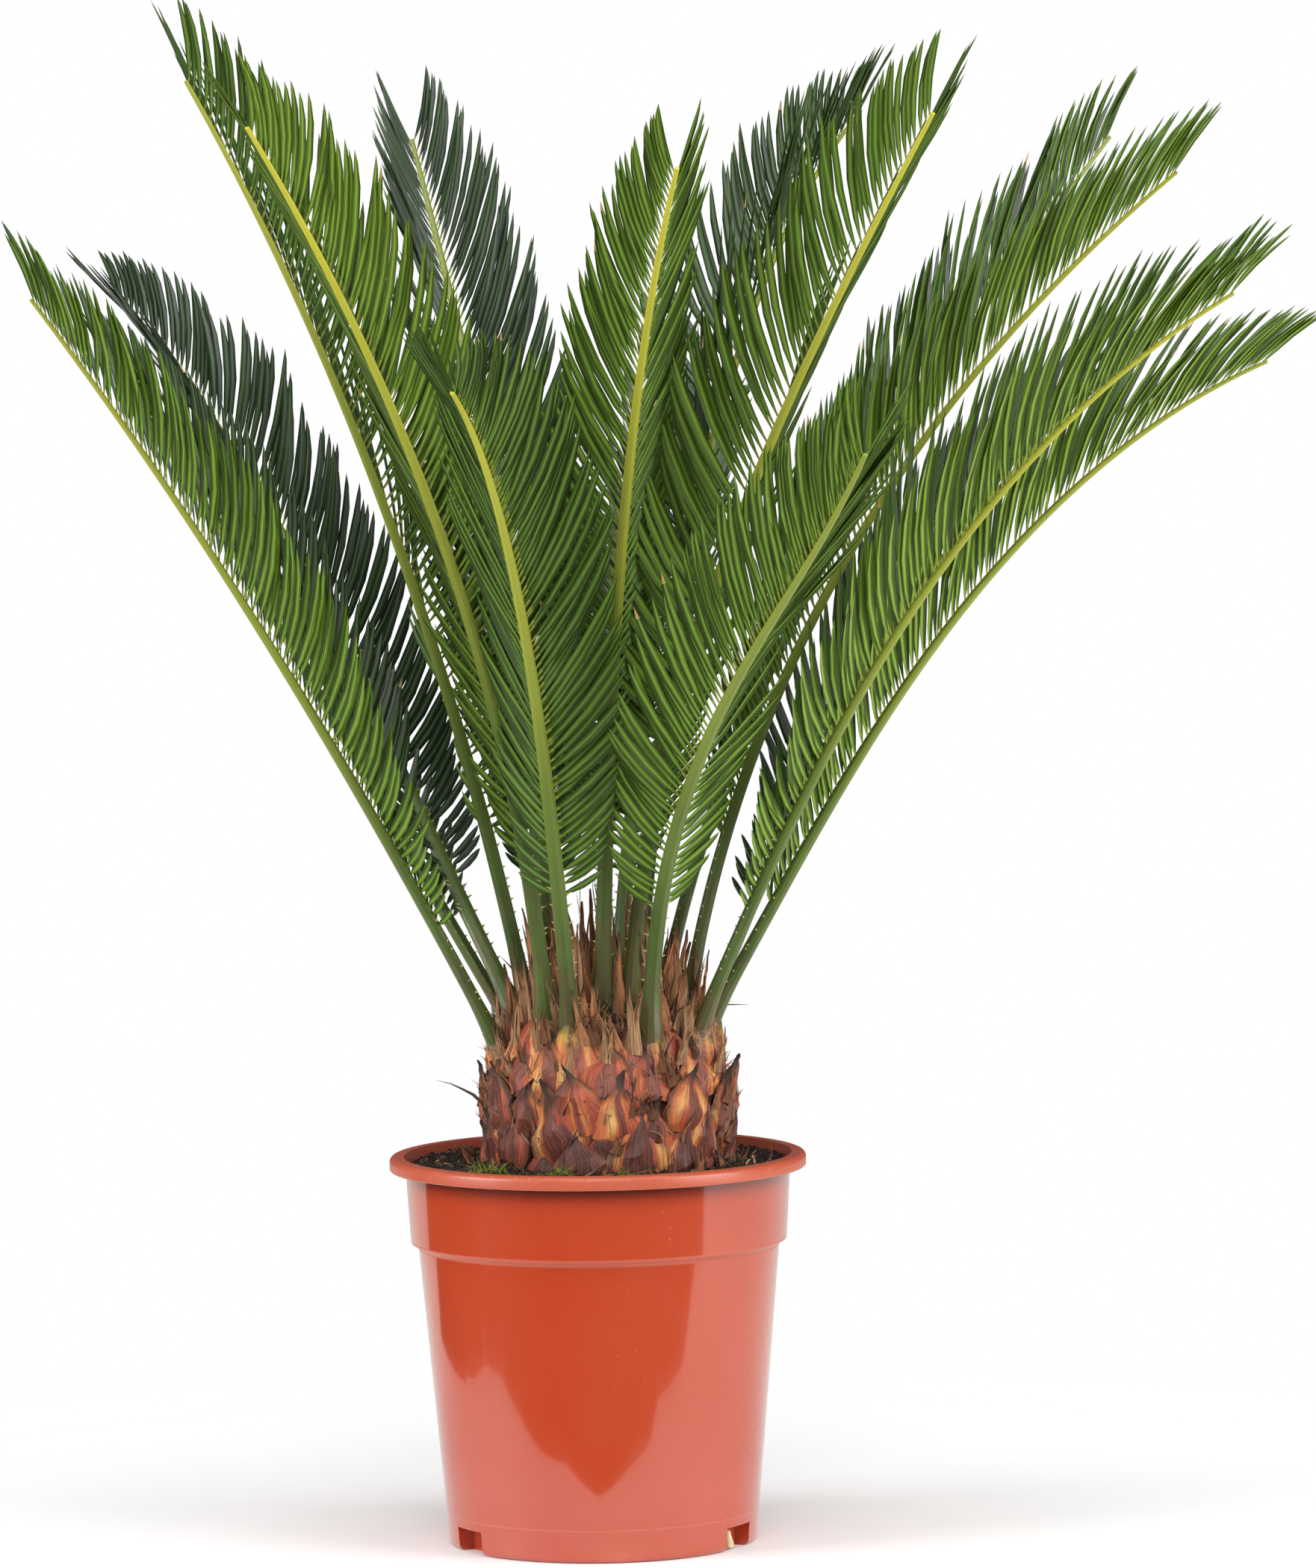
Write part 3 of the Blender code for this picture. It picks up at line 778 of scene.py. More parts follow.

# Greens of the upper and lower faces, and how yellow the rib turns towards its tip
# Darker greens for shaded fronds and brighter ones for lit fronds: painted shade and light, besides the real
# difference between the two faces.
LOOKS = {
    "frond_left_low": ("leaf", "fresh", 0.5),
    "frond_left_rear": ("deep", "dark", 0.2),
    "frond_left_tall": ("leaf", "leaf", 0.55),
    "frond_left_fore": ("bright", "bright", 1.0),
    "frond_fore_left": ("leaf", "leaf", 0.85),
    "frond_fore_upright": ("leaf", "fresh", 1.0),
    "frond_fore_right": ("fresh", "fresh", 0.2),
    "frond_right_tall": ("fresh", "fresh", 0.95),
    "frond_right_upper": ("fresh", "bright", 0.6),
    "frond_right_fore": ("fresh", "bright", 0.85),
    "frond_right_low": ("fresh", "bright", 0.5),
    "frond_rear_left": ("deep", "dark", 0.3),
    "frond_rear_upright": ("dark", "leaf", 0.3),
    "frond_rear_right": ("dark", "leaf", 0.2),
    "frond_rear_arched_left": ("dark", "leaf", 0.4),
    "frond_rear_arched_right": ("leaf", "leaf", 0.5),
    "frond_left_low_rear": ("dark", "leaf", 0.3),
    "frond_right_low_rear": ("dark", "leaf", 0.4),
}
SHADES = list(UPPER_GREENS)
print("leaf materials:", sum(len(kinds) for kinds in GREENS.values()))


def next_shade(shade):
    return SHADES[min(SHADES.index(shade) + 1, len(SHADES) - 1)]


# %% Grow the leaflets of every frond
SMOOTH_UNDER = math.radians(22)


def finish_piece(obj, slot, *nodes):
    """Shade a finished piece, hang it on the root body and hide the solid parts that it stands for."""
    obj.data.shade_smooth()
    obj.data.set_sharp_from_angle(angle=SMOOTH_UNDER)
    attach(obj, "root")
    if nodes:
        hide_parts(*nodes)
    return obj


def triangles(obj):
    return sum(len(face.vertices) - 2 for face in obj.data.polygons)


leaflet_triangles = 0
for order, (name, frond) in enumerate(FRONDS.items()):
    above, below, _ = LOOKS[name]
    sizes = rib_sizes(frond)
    sizes.update({"Leaflets a side": LEAFLETS_A_SIDE, "Leaflet width": LEAFLET_WIDTH})
    sizes.update({"Seed": 20 * order + 1, "Blade": leaflet})
    sizes.update({kind: GREENS[above][kind] for kind in ("Upper", "Upper edge", "Midrib")})
    sizes.update({kind: GREENS[below][kind] for kind in ("Under", "Under edge", "Under midrib")})
    sizes["Upper other"] = GREENS[next_shade(above)]["Upper"]
    sizes["Under other"] = GREENS[next_shade(below)]["Under"]
    sizes.update({"Leaflet foot": LEAFLET_FOOT, "Dry tip": DRY_TIP})
    leaflets = grow(name + "_leaflets", leaflet_rows, sizes)
    finish_piece(leaflets, "frond", name)
    leaflet_triangles += triangles(leaflets)
print("leaflet triangles:", leaflet_triangles)

# %% [markdown]
# ## Ribs
# The rib is a stiff stalk, green and as thick as a pencil at its foot and thin and yellow
# at its tip. A cylinder of unit length is bent along the rule: how high a point is on the
# cylinder says where it goes along the rib, and its place on the circle says which side it
# is on. The upper side is flattened, as on the real stalk, where the leaflets sit.

# %% The tree of a rib
RIB_SIDES = 12
RIB_RINGS = 90
FOOT_FLARE = 0.45
FLARE_SHARE = 0.07
UPPER_FLATTENED = 0.55


def rib_tree():
    tree, size = new_tree("rib", {**RIB_SIZES, "Yellowing": float, "Finish": bpy.types.Material})
    start = size["Length"]
    inputs = {"Vertices": RIB_SIDES, "Side Segments": RIB_RINGS, "Radius": 1.0, "Depth": 1.0}
    tube = start.add("GeometryNodeMeshCylinder", {}, inputs, "Mesh")
    place = start.add("GeometryNodeInputPosition")
    x, y, z = (place.axis(name) for name in "XYZ")
    sunk = FOOT_SUNK / size["Length"]
    share = (z + 0.5) * (1 + sunk) - sunk
    on_rib = share.at_least(0.0)
    forward, upper, side = rib_fields(size, on_rib)
    flare = (1 - on_rib / FLARE_SHARE).at_least(0.0)
    half = half_width_field(on_rib) * (1 + FOOT_FLARE * flare * flare)
    above = y.at_least(0.0) * UPPER_FLATTENED + y.at_most(0.0)
    below_foot = forward.scaled(share.at_most(0.0) * size["Length"])
    middle = total(rib_place(rib_curve(size), on_rib), below_foot)
    tube = stored(tube, "rise", on_rib)
    tube = stored(tube, "above", y)
    tube = stored(tube, "yellowing", size["Yellowing"])
    tube = moved(tube, Position=total(middle, side.scaled(x * half), upper.scaled(above * half)))
    end_tree(painted(realized(tube), size["Finish"]))
    return tree


rib_rule = rib_tree()

# %% [markdown]
# ## Spines
# Below the leaflets, both edges of the stalk carry short pale spines, a few millimetres
# apart. They grow longer towards the first leaflets. A four-sided cone is enough for
# something this small.

# %% The tree of the spines
SPINE_PITCH = 0.0062
SPINE_LENGTHS = (0.0015, 0.0034)
SPINE_WIDTH = 0.0014
SPINES_START = 0.05
SPINES_END = 1.08
SPINE_OUT = 0.85
SPINE_UP = 0.2


def spine_tree():
    tree, size = new_tree("spines", {**RIB_SIZES, "Seed": int, "Finish": bpy.types.Material})
    start, seed = size["Length"], size["Seed"]
    count = math.floor(size["Length"] * size["Bare share"] / SPINE_PITCH)
    seats, hand, place = two_rows(start, count)
    along = (place + 0.5 + chance(start, -0.4, 0.4, seed)) / count
    share = size["Bare share"] * (SPINES_START + (SPINES_END - SPINES_START) * along)
    forward, upper, side = rib_fields(size, share)
    half = half_width_field(share)
    middle = rib_place(rib_curve(size), share)
    beside, over = side.scaled(hand * half * SPINE_OUT), upper.scaled(half * SPINE_UP)
    seats = moved(seats, Position=total(middle, beside, over))
    forth = forward.scaled(chance(start, 0.1, 0.6, seed + 1))
    aside = total(side.scaled(hand), upper.scaled(0.25), forth)
    turn = start.add("FunctionNodeAlignRotationToVector", {"axis": "Z"}, {"Vector": aside})
    inputs = {"Vertices": 4, "Radius Top": 0.0, "Radius Bottom": SPINE_WIDTH / 2, "Depth": 1.0}
    cone = start.add("GeometryNodeMeshCone", {}, inputs, "Mesh")
    length = along.ramp(0.0, 1.0, *SPINE_LENGTHS) * chance(start, 0.7, 1.2, seed + 2)
    end_tree(painted(set_on(seats, cone, turn, joined(1.0, 1.0, length)), size["Finish"]))
    return tree


spine_rule = spine_tree()

# %% Rib and spine finishes
STALK_GREEN = (0.082, 0.132, 0.022)
STALK_DARK = (0.04, 0.072, 0.013)
STALK_BROWN = (0.105, 0.066, 0.028)
RIB_LIME = (0.15, 0.215, 0.024)
RIB_YELLOW = (0.47, 0.45, 0.03)

rib_material, start, feed = new_material("rib", Roughness=0.38, Specular_IOR_Level=0.5)
rise, above, yellowing = (carried(start, key) for key in ("rise", "above", "yellowing"))
stalk = blended(fractal(start, 60, (1, 1, 0.2)).ramp(0.3, 0.7), STALK_DARK, STALK_GREEN)
scurf = fractal(start, 420, (1, 1, 0.5), 4.0) * 0.7 + fractal(start, 45, (1, 1, 0.4), 2.0) * 0.6
scurf = (scurf + rise.ramp(0.14, 0.0) * 0.18).ramp(0.68, 0.84) * rise.ramp(0.3, 0.05)
stalk = blended(scurf * 0.7, stalk, STALK_BROWN)
lime = blended(rise.ramp(0.08, 0.45), stalk, RIB_LIME)
yellow = blended(rise.ramp(0.3, 0.85) * yellowing, lime, RIB_YELLOW)
feed("Base Color", blended(above.ramp(0.2, 0.9) * 0.45, yellow, STALK_GREEN))
feed("Normal", bumped(fractal(start, 300, (1, 1, 0.15)), 0.0004, 0.4))

spine_material = new_material("spine", Base_Color=(0.42, 0.36, 0.14, 1.0), Roughness=0.5)[0]

for order, (name, frond) in enumerate(FRONDS.items()):
    sizes = rib_sizes(frond)
    sizes.update({"Yellowing": LOOKS[name][2], "Finish": rib_material})
    finish_piece(grow(name + "_rib", rib_rule, sizes), "frond", name)
    sizes.update({"Seed": 500 + 10 * order, "Finish": spine_material})
    finish_piece(grow(name + "_spines", spine_rule, sizes), "frond")
print("ribs and spines:", 2 * len(FRONDS))

# %% [markdown]
# ## The pot
# The pot is thin moulded plastic: a rolled lip, a straight collar, a ledge where the pots
# rest on each other when they are stacked, a tapering body and three drain notches. The
# solid model's pot has 64 flat sides, which would show in its gloss. A finer one is turned
# from the same sizes with a Screw modifier, and boxes are cut out of it for the notches.

# %% Sizes of the pot
POT_HEIGHT = 0.1775
RIM_RADIUS = 0.095
RIM_ROUND = 0.0022
LIP_HEIGHT = 0.0062
COLLAR_TOP_RADIUS = 0.0876
COLLAR_FOOT_RADIUS = 0.0858
COLLAR_FOOT_Z = 0.139
LEDGE_HEIGHT = 0.0035
BODY_TOP_RADIUS = 0.0822
BASE_RADIUS = 0.0705
BASE_CORNER = 0.003
WALL = 0.0015
MOUTH_FLARE = 0.0026
FLOOR_THICKNESS = 0.002
NOTCH_AZIMUTHS = (211, 331, 91)
NOTCH_SIZE = (0.008, 0.021, 0.011)
POT_STEPS = 180
PAST = 0.01
ARC_STEPS = 6


def arc(radius, z, size, start, end):
    """Points of an arc about (radius, z), from one angle to another in degrees."""
    points = []
    for i in range(ARC_STEPS + 1):
        angle = math.radians(start + (end - start) * i / ARC_STEPS)
        points.append((radius + size * math.cos(angle), z + size * math.sin(angle)))
    return points


def turned(name, profile):
    """A solid turned about +Z from (radius, z) points that start and end on the axis."""
    mesh = bpy.data.meshes.new(name)
    edges = [(i, i + 1) for i in range(len(profile) - 1)]
    mesh.from_pydata([(radius, 0.0, z) for radius, z in profile], edges, [])
    obj = put_in_scene(name, mesh)
    screw = obj.modifiers.new("turn", "SCREW")
    screw.steps = screw.render_steps = POT_STEPS
    screw.use_merge_vertices = True
    screw.merge_threshold = MERGE
    return obj


def applied(obj):
    """Turn what the modifiers show into the object's own mesh."""
    graph = bpy.context.evaluated_depsgraph_get()
    mesh = bpy.data.meshes.new_from_object(obj.evaluated_get(graph), depsgraph=graph)
    obj.modifiers.clear()
    obj.data = mesh
    return obj


def cut(obj, cutter):
    boolean = obj.modifiers.new("cut", "BOOLEAN")
    boolean.operation = "DIFFERENCE"
    boolean.object = cutter
    applied(obj)
    bpy.data.objects.remove(cutter)


def notch_box(azimuth, clear):
    depth, width, height = NOTCH_SIZE
    inner, outer = BASE_RADIUS - depth - clear, BASE_RADIUS + PAST
    top = height + clear
    bm = bmesh.new()
    bmesh.ops.create_cube(bm, size=1.0)
    bmesh.ops.scale(bm, vec=(outer - inner, width + 2 * clear, top + PAST), verts=bm.verts)
    bmesh.ops.translate(bm, vec=((outer + inner) / 2, 0.0, (top - PAST) / 2), verts=bm.verts)
    bmesh.ops.rotate(bm, matrix=Matrix.Rotation(math.radians(azimuth), 3, "Z"), verts=bm.verts)
    mesh = bpy.data.meshes.new("notch box")
    bm.to_mesh(mesh)
    bm.free()
    return put_in_scene("notch box", mesh)


# %% Turn the pot and cut it
def pot_outside():
    lip_foot = POT_HEIGHT - LIP_HEIGHT
    lip_middle = RIM_RADIUS - RIM_ROUND
    fillet = 0.0012
    profile = [(0.0, POT_HEIGHT)]
    profile += arc(lip_middle, POT_HEIGHT - RIM_ROUND, RIM_ROUND, 90, 0)
    profile += arc(lip_middle + RIM_ROUND - 0.0009, lip_foot + 0.0009, 0.0009, 0, -90)
    profile += arc(COLLAR_TOP_RADIUS + fillet, lip_foot - fillet, fillet, 90, 180)
    profile += arc(COLLAR_FOOT_RADIUS - fillet, COLLAR_FOOT_Z, fillet, 0, -50)
    profile += arc(BODY_TOP_RADIUS + fillet, COLLAR_FOOT_Z - LEDGE_HEIGHT, fillet, 130, 180)
    profile += arc(BASE_RADIUS - BASE_CORNER, BASE_CORNER, BASE_CORNER, 0, -90)
    return profile + [(0.0, 0.0)]


def pot_inside():
    slope = (COLLAR_TOP_RADIUS - COLLAR_FOOT_RADIUS) / (POT_HEIGHT - COLLAR_FOOT_Z)
    lip_foot = POT_HEIGHT - LIP_HEIGHT
    flare = MOUTH_FLARE / LIP_HEIGHT
    return [
        (0.0, POT_HEIGHT + PAST),
        (COLLAR_TOP_RADIUS - WALL + flare * (LIP_HEIGHT + PAST), POT_HEIGHT + PAST),
        (COLLAR_TOP_RADIUS - WALL - slope * LIP_HEIGHT, lip_foot),
        (COLLAR_FOOT_RADIUS - WALL, COLLAR_FOOT_Z),
        (BODY_TOP_RADIUS - WALL, COLLAR_FOOT_Z - LEDGE_HEIGHT),
        (BASE_RADIUS - WALL, FLOOR_THICKNESS),
        (0.0, FLOOR_THICKNESS),
    ]


pot = applied(turned("nursery_pot", pot_outside()))
cavity = applied(turned("cavity", pot_inside()))
for azimuth in NOTCH_AZIMUTHS:
    cut(cavity, notch_box(azimuth, WALL))
    cut(pot, notch_box(azimuth, 0.0))
cut(pot, cavity)
print("pot triangles:", triangles(pot))

# %% [markdown]
# ## Terracotta plastic
# The plastic is one orange right through, glossy but not polished. Stacking and soil have
# left fine scuffs, a little dust and pale rub marks on the lip and the foot. They go into
# the roughness and, very weakly, into the colour. Besides these, the whole lip and the
# ledge are painted paler, as painted reflection and highlight, and a band under the lip is
# painted dark, as painted shadow.

# %% Finish the pot
PLASTIC = (0.43, 0.044, 0.01)
PLASTIC_PALE = (0.6, 0.18, 0.1)
PLASTIC_SOILED = (0.3, 0.06, 0.03)
# Colour of the painted shadow under the lip, and how far down it reaches
LIP_SHADOW_PAINT = (0.11, 0.012, 0.005)
LIP_SHADOW_DROP = 0.012
SOILED_FROM = 0.168
SEAM_Z = 0.015
SEAM_HALF = 0.0006
SCUFF = 0.5

plastic, start, feed = new_material(
    "terracotta plastic", Coat_Roughness=0.03, Specular_IOR_Level=0.7
)
cloud = fractal(start, 14, (1, 1, 0.6), 4.0)
speck = fractal(start, 420, (1, 1, 1), 2.0)
scratch = fractal(start, 260, (1, 1, 0.12), 2.0)
height = start.add("ShaderNodeTexCoord", out="Object").axis("Z")
lip_foot = POT_HEIGHT - LIP_HEIGHT
lip_mark = height.ramp(lip_foot, POT_HEIGHT) * speck.ramp(0.56, 0.7) * 0.6
foot_mark = height.ramp(0.012, 0.0) * cloud.ramp(0.4, 0.65) * 0.5
marks = speck.ramp(0.66, 0.74) * cloud.ramp(0.45, 0.6) * 0.35
# Painted reflection: the whole lip is painted paler, for the pale room that it mirrors.
lip = height.ramp(lip_foot - 0.0004, lip_foot + 0.0004)
# Painted highlight: a pale band along the ledge.
ledge_foot = COLLAR_FOOT_Z - LEDGE_HEIGHT
ledge = height.ramp(ledge_foot - 0.0006, ledge_foot) * height.ramp(COLLAR_FOOT_Z + 0.0004, COLLAR_FOOT_Z)
# Real rub marks and specks, together with the painted lip reflection and ledge highlight
pale = (lip_mark + lip * 0.55 + ledge * 0.45 + foot_mark + marks).at_most(1.0)
plain = blended(cloud.ramp(0.35, 0.7) * 0.1, PLASTIC, PLASTIC_PALE)
soiled_and_shaded = blended(height.ramp(SOILED_FROM, POT_HEIGHT) * cloud.ramp(0.55, 0.75) * 0.5, plain, PLASTIC_SOILED)
# Painted shadow: the collar darkens towards the lip's underside, as if shaded by the lip's overhang.
lip_shadow = height.ramp(lip_foot - LIP_SHADOW_DROP, lip_foot - 0.0012)
soiled_and_shaded = blended(lip_shadow * lip_shadow * (1 - lip), soiled_and_shaded, LIP_SHADOW_PAINT)
seam = abs(height - SEAM_Z).ramp(SEAM_HALF, 0.0)
feed("Base Color", blended((pale * SCUFF + seam * 0.3).at_most(1.0), soiled_and_shaded, PLASTIC_PALE))
feed("Coat Weight", 0.7 - lip * 0.6 - ledge * 0.5)
feed("Roughness", 0.11 + cloud.ramp(0.3, 0.7) * 0.04 + scratch.ramp(0.6, 0.8) * 0.1 + pale * 0.4)
feed("Normal", bumped(cloud + seam, 0.001, 0.12))
pot.data.materials.append(plastic)
finish_piece(pot, "pot", "pot")

# %% [markdown]
# ## A root at the drain notch
# One thick pale root has found its way out of a drain notch, as they do on a plant that has
# stood in its pot for long. It is turned like the pot, pulled out of round by noise and set
# against the wall of the notch.

# %% Turn the root's end
ROOT_PROFILE = (
    (0.0, 0.0092), (0.001, 0.0088), (0.0015, 0.006), (0.0022, 0.003), (0.0024, 0.0012), (0.0, 0.0003),
)
ROOT_AZIMUTH = math.radians(329.0)
ROOT_RADIUS = 0.0668
ROOT_LEAN = 0.16
ROOT_CREAM = (0.78, 0.62, 0.38)
ROOT_TAN = (0.52, 0.35, 0.18)

root_stub = applied(turned("root_stub", ROOT_PROFILE))
out = outward(ROOT_AZIMUTH)
for vert in root_stub.data.vertices:
    wave = noise.noise_vector(vert.co * 300) * 0.0005
    aside = Vector((-out.y, out.x, 0.0)) * -ROOT_LEAN * vert.co.z
    vert.co += out * ROOT_RADIUS + aside + Vector((wave.x, wave.y, 0.0))
root_grain, stops, relief = (350, (1, 1, 0.4)), (0.35, 0.7), (0.0005, 0.5)
root_material = grained("root", ROOT_CREAM, ROOT_TAN, root_grain, stops, relief, Roughness=0.6)
root_stub.data.materials.append(root_material)
finish_piece(root_stub, "soil")

# %% [markdown]
# ## The soil
# The soil is filled to just under the lip. Its surface is uneven, and it is all crumbs:
# potting mix is dark fibre with bits of bark. The body is turned like the pot and its top
# is ruffled. A tree then scatters crumbs over the top, each a twenty-sided lump pressed
# and turned at random.

# %% Turn the soil and ruffle its top
SOIL_TOP = 0.1735
CLEAR = 0.0003
SOIL_RINGS = 34
SOIL_RUFFLE = 0.0016
SOIL_BANK = 0.0036
BANK_RADIUS = 0.045
BANK_WIDTH = 0.02
SOIL_EDGE = 0.004


def soil_bank(x, y):
    """How high the soil is banked up towards the trunk."""
    from_trunk = math.hypot(x - TRUNK_X, y)
    return SOIL_BANK * max(min(1 - (from_trunk - BANK_RADIUS) / BANK_WIDTH, 1.0), 0.0)


def soil_profile():
    inset = WALL + CLEAR
    slope = (COLLAR_TOP_RADIUS - COLLAR_FOOT_RADIUS) / (POT_HEIGHT - COLLAR_FOOT_Z)
    top_radius = COLLAR_FOOT_RADIUS + slope * (SOIL_TOP - COLLAR_FOOT_Z) - inset
    depth, _, height = NOTCH_SIZE
    step_z = height + WALL + CLEAR
    step_radius = BASE_RADIUS + (BODY_TOP_RADIUS - BASE_RADIUS) * step_z / COLLAR_FOOT_Z - inset
    foot_radius = BASE_RADIUS - depth - inset
    top = [(top_radius * i / SOIL_RINGS, SOIL_TOP) for i in range(SOIL_RINGS + 1)]
    side = [
        (COLLAR_FOOT_RADIUS - inset, COLLAR_FOOT_Z),
        (BODY_TOP_RADIUS - inset, COLLAR_FOOT_Z - LEDGE_HEIGHT),
        (step_radius, step_z),
        (foot_radius, step_z),
        (foot_radius, FLOOR_THICKNESS + CLEAR),
        (0.0, FLOOR_THICKNESS + CLEAR),
    ]
    return top + side, top_radius


soil_points, soil_radius = soil_profile()
soil = applied(turned("potting_soil", soil_points))
for vert in soil.data.vertices:
    if vert.co.z > SOIL_TOP - CLEAR:
        bank = soil_bank(vert.co.x, vert.co.y)
        wave = noise.fractal(vert.co * 55, 0.8, 2.2, 4)
        edge = min((soil_radius - math.hypot(vert.co.x, vert.co.y)) / SOIL_EDGE, 1.0)
        vert.co.z += (SOIL_RUFFLE * wave + bank) * max(edge, 0.0)
print("soil triangles:", triangles(soil))


def crumb_tree():
    """A tree that scatters lumps on the upward faces of its ground mesh."""
    sizes = {"Ground": bpy.types.Mesh, "Seed": int, "Dark": bpy.types.Material, "Light": bpy.types.Material}
    sizes.update({name: float for name in ("Density", "Smallest", "Largest", "Flatness", "Light share")})
    tree, size = new_tree("scattered crumbs", sizes)
    start, seed = size["Density"], size["Seed"]
    upward = start.add("GeometryNodeInputNormal").axis("Z")
    raised = start.add("GeometryNodeInputPosition").axis("Z")
    on_top = (upward > 0.3) * (raised > SOIL_TOP - 0.004)
    inputs = {"Mesh": size["Ground"], "Selection": on_top, "Density": size["Density"], "Seed": seed}
    seats = start.add("GeometryNodeDistributePointsOnFaces", {}, inputs, "Points")
    seats = stored(seats, "pick", chance(start, 0.0, 1.0, seed + 1))
    spin = joined(*(chance(start, 0.0, 2 * math.pi, seed + 2 + axis) for axis in range(3)))
    bigness = chance(start, 0.0, 1.0, seed + 6) ** 3
    length = size["Smallest"] + (size["Largest"] - size["Smallest"]) * bigness
    scale = joined(length, length * chance(start, 0.45, 0.9, seed + 7), length * size["Flatness"])
    lump = start.add("GeometryNodeMeshIcoSphere", {}, {"Radius": 0.5, "Subdivisions": 1}, "Mesh")
    lumps = painted(set_on(seats, lump, spin, scale), size["Dark"])
    end_tree(painted(lumps, size["Light"], named(start, "pick") < size["Light share"]))
    return tree


# %% Soil finishes and crumbs
SOIL_DARK = (0.016, 0.01, 0.007)
SOIL_BROWN = (0.05, 0.028, 0.018)
BARK_BIT = (0.11, 0.06, 0.032)

soil_material = grained(
    "potting soil", SOIL_DARK, SOIL_BROWN, (420, (1, 1, 1), 4.0), (0.4, 0.72), (0.0012, 0.9),
    Roughness=0.92, Specular_IOR_Level=0.25,
)
soil.data.materials.append(soil_material)
finish_piece(soil, "soil", "soil")

crumb_dark = new_material("dark crumb", Base_Color=(*SOIL_DARK, 1.0), Roughness=0.9)[0]
crumb_light = new_material("bark crumb", Base_Color=(*BARK_BIT, 1.0), Roughness=0.85)[0]
crumb_sizes = {
    "Seed": 31,
    "Density": 330000.0,
    "Smallest": 0.0008,
    "Largest": 0.0042,
    "Flatness": 0.6,
    "Dark": crumb_dark,
    "Light": crumb_light,
    "Light share": 0.16,
}
crumbs = grow("soil_crumbs", crumb_tree(), crumb_sizes, soil.data.copy())
finish_piece(crumbs, "soil")
print("crumb triangles:", triangles(crumbs))

# %% [markdown]
# ## The trunk
# A young sago palm's trunk is a short barrel. It is covered by the feet of old leaves:
# pointed shields that overlap like shingles, the lowest outermost, each with a dry thread
# for a point. They could be modelled one by one, but the plant itself follows a rule. So
# three shields are sewn as bulging blades, and a tree sets 70 of them round the barrel in
# five rows, each row half a step on from the one below, and makes every one a bit unlike.

# %% Shields and threads
SCALE_ROWS_ALONG = (0.0, 0.12, 0.26, 0.4, 0.52, 0.62, 0.71, 0.79, 0.86, 0.93, 1.0)
SCALE_COLUMNS_ACROSS = (-1.0, -0.9, -0.72, -0.5, -0.27, -0.08, 0.08, 0.27, 0.5, 0.72, 0.9, 1.0)
SHIELD_HALF_WIDTHS = (0.34, 0.46, 0.5, 0.46, 0.38, 0.29, 0.195, 0.115, 0.062, 0.034, 0.01)
SHIELD_BULGES = (0.06, 0.12, 0.155, 0.15, 0.13, 0.105, 0.08, 0.06, 0.045, 0.03, 0.01)
BLUNT_HALF_WIDTHS = (0.36, 0.47, 0.5, 0.48, 0.43, 0.37, 0.31, 0.26, 0.225, 0.2, 0.18)
BLUNT_BULGES = (0.06, 0.15, 0.22, 0.25, 0.26, 0.26, 0.25, 0.24, 0.23, 0.22, 0.2)
POINT_STARTS = 0.66
SCALE_BACK = 0.05


def shield(name, half_widths, bulges, curl=0.0, bend=0.0):
    """A bulging shield whose point curls outwards and bends to one side."""

    def middle(t):
        past = max((t - POINT_STARTS) / (1 - POINT_STARTS), 0.0) ** 2
        return bend * past, curl * past

    def front(t, s):
        half = between(t, SCALE_ROWS_ALONG, half_widths)
        bulge = between(t, SCALE_ROWS_ALONG, bulges)
        ridge = 0.035 * max(1 - abs(s) / 0.3, 0.0) * t
        aside, out = middle(t)
        return (half * s + aside, t, bulge * (1 - abs(s) ** 1.7) + ridge + out)

    def back(t, s):
        half = between(t, SCALE_ROWS_ALONG, half_widths)
        aside, out = middle(t)
        return (half * s + aside, t, out - SCALE_BACK * min(half / 0.3, 1.0))

    return sewn_blade(name, front, back, SCALE_ROWS_ALONG, SCALE_COLUMNS_ACROSS)


THREAD_ROWS_ALONG = (0.0, 0.2, 0.4, 0.6, 0.8, 1.0)
THREAD_COLUMNS_ACROSS = (-1.0, -0.4, 0.4, 1.0)


def thread(name, bend):
    """A thin round spike. Its bend is given in widths, because it is stretched later."""

    def side(t, s, hand):
        half = 0.5 * (1 - t) ** 0.7 + 0.04
        return (half * s + bend * t * t, t, hand * half * math.sqrt(max(1 - s * s, 0.0)))

    front, back = (lambda t, s: side(t, s, 1)), (lambda t, s: side(t, s, -1))
    return sewn_blade(name, front, back, THREAD_ROWS_ALONG, THREAD_COLUMNS_ACROSS)


def kit(name, *objects):
    """A collection that a tree picks its blades from."""
    collection = bpy.data.collections.new(name)
    for obj in objects:
        collection.objects.link(obj)
    return collection


shields = kit(
    "shields",
    shield("shield straight", SHIELD_HALF_WIDTHS, SHIELD_BULGES, 0.02, 0.02),
    shield("shield left", SHIELD_HALF_WIDTHS, SHIELD_BULGES, 0.07, -0.1),
    shield("shield right", SHIELD_HALF_WIDTHS, SHIELD_BULGES, -0.02, 0.13),
)
stalk_base = kit("stalk base", shield("stalk base", BLUNT_HALF_WIDTHS, BLUNT_BULGES))
bends = {"thread straight": 0.6, "thread bent": 5.0, "thread hooked": -8.0}
threads = kit("threads", *(thread(name, bend) for name, bend in bends.items()))

# %% [markdown]
# ## Two trees for blades
# The first tree has the rule of the rows in it: it counts the shields, turns the count into
# a place on the barrel, and stands a blade there. The second takes its places from a mesh
# of seats, which carry the directions and sizes as attributes. It is for what has no such
# rule. Both ruffle the blades with noise once they are real, so that no two are the same.

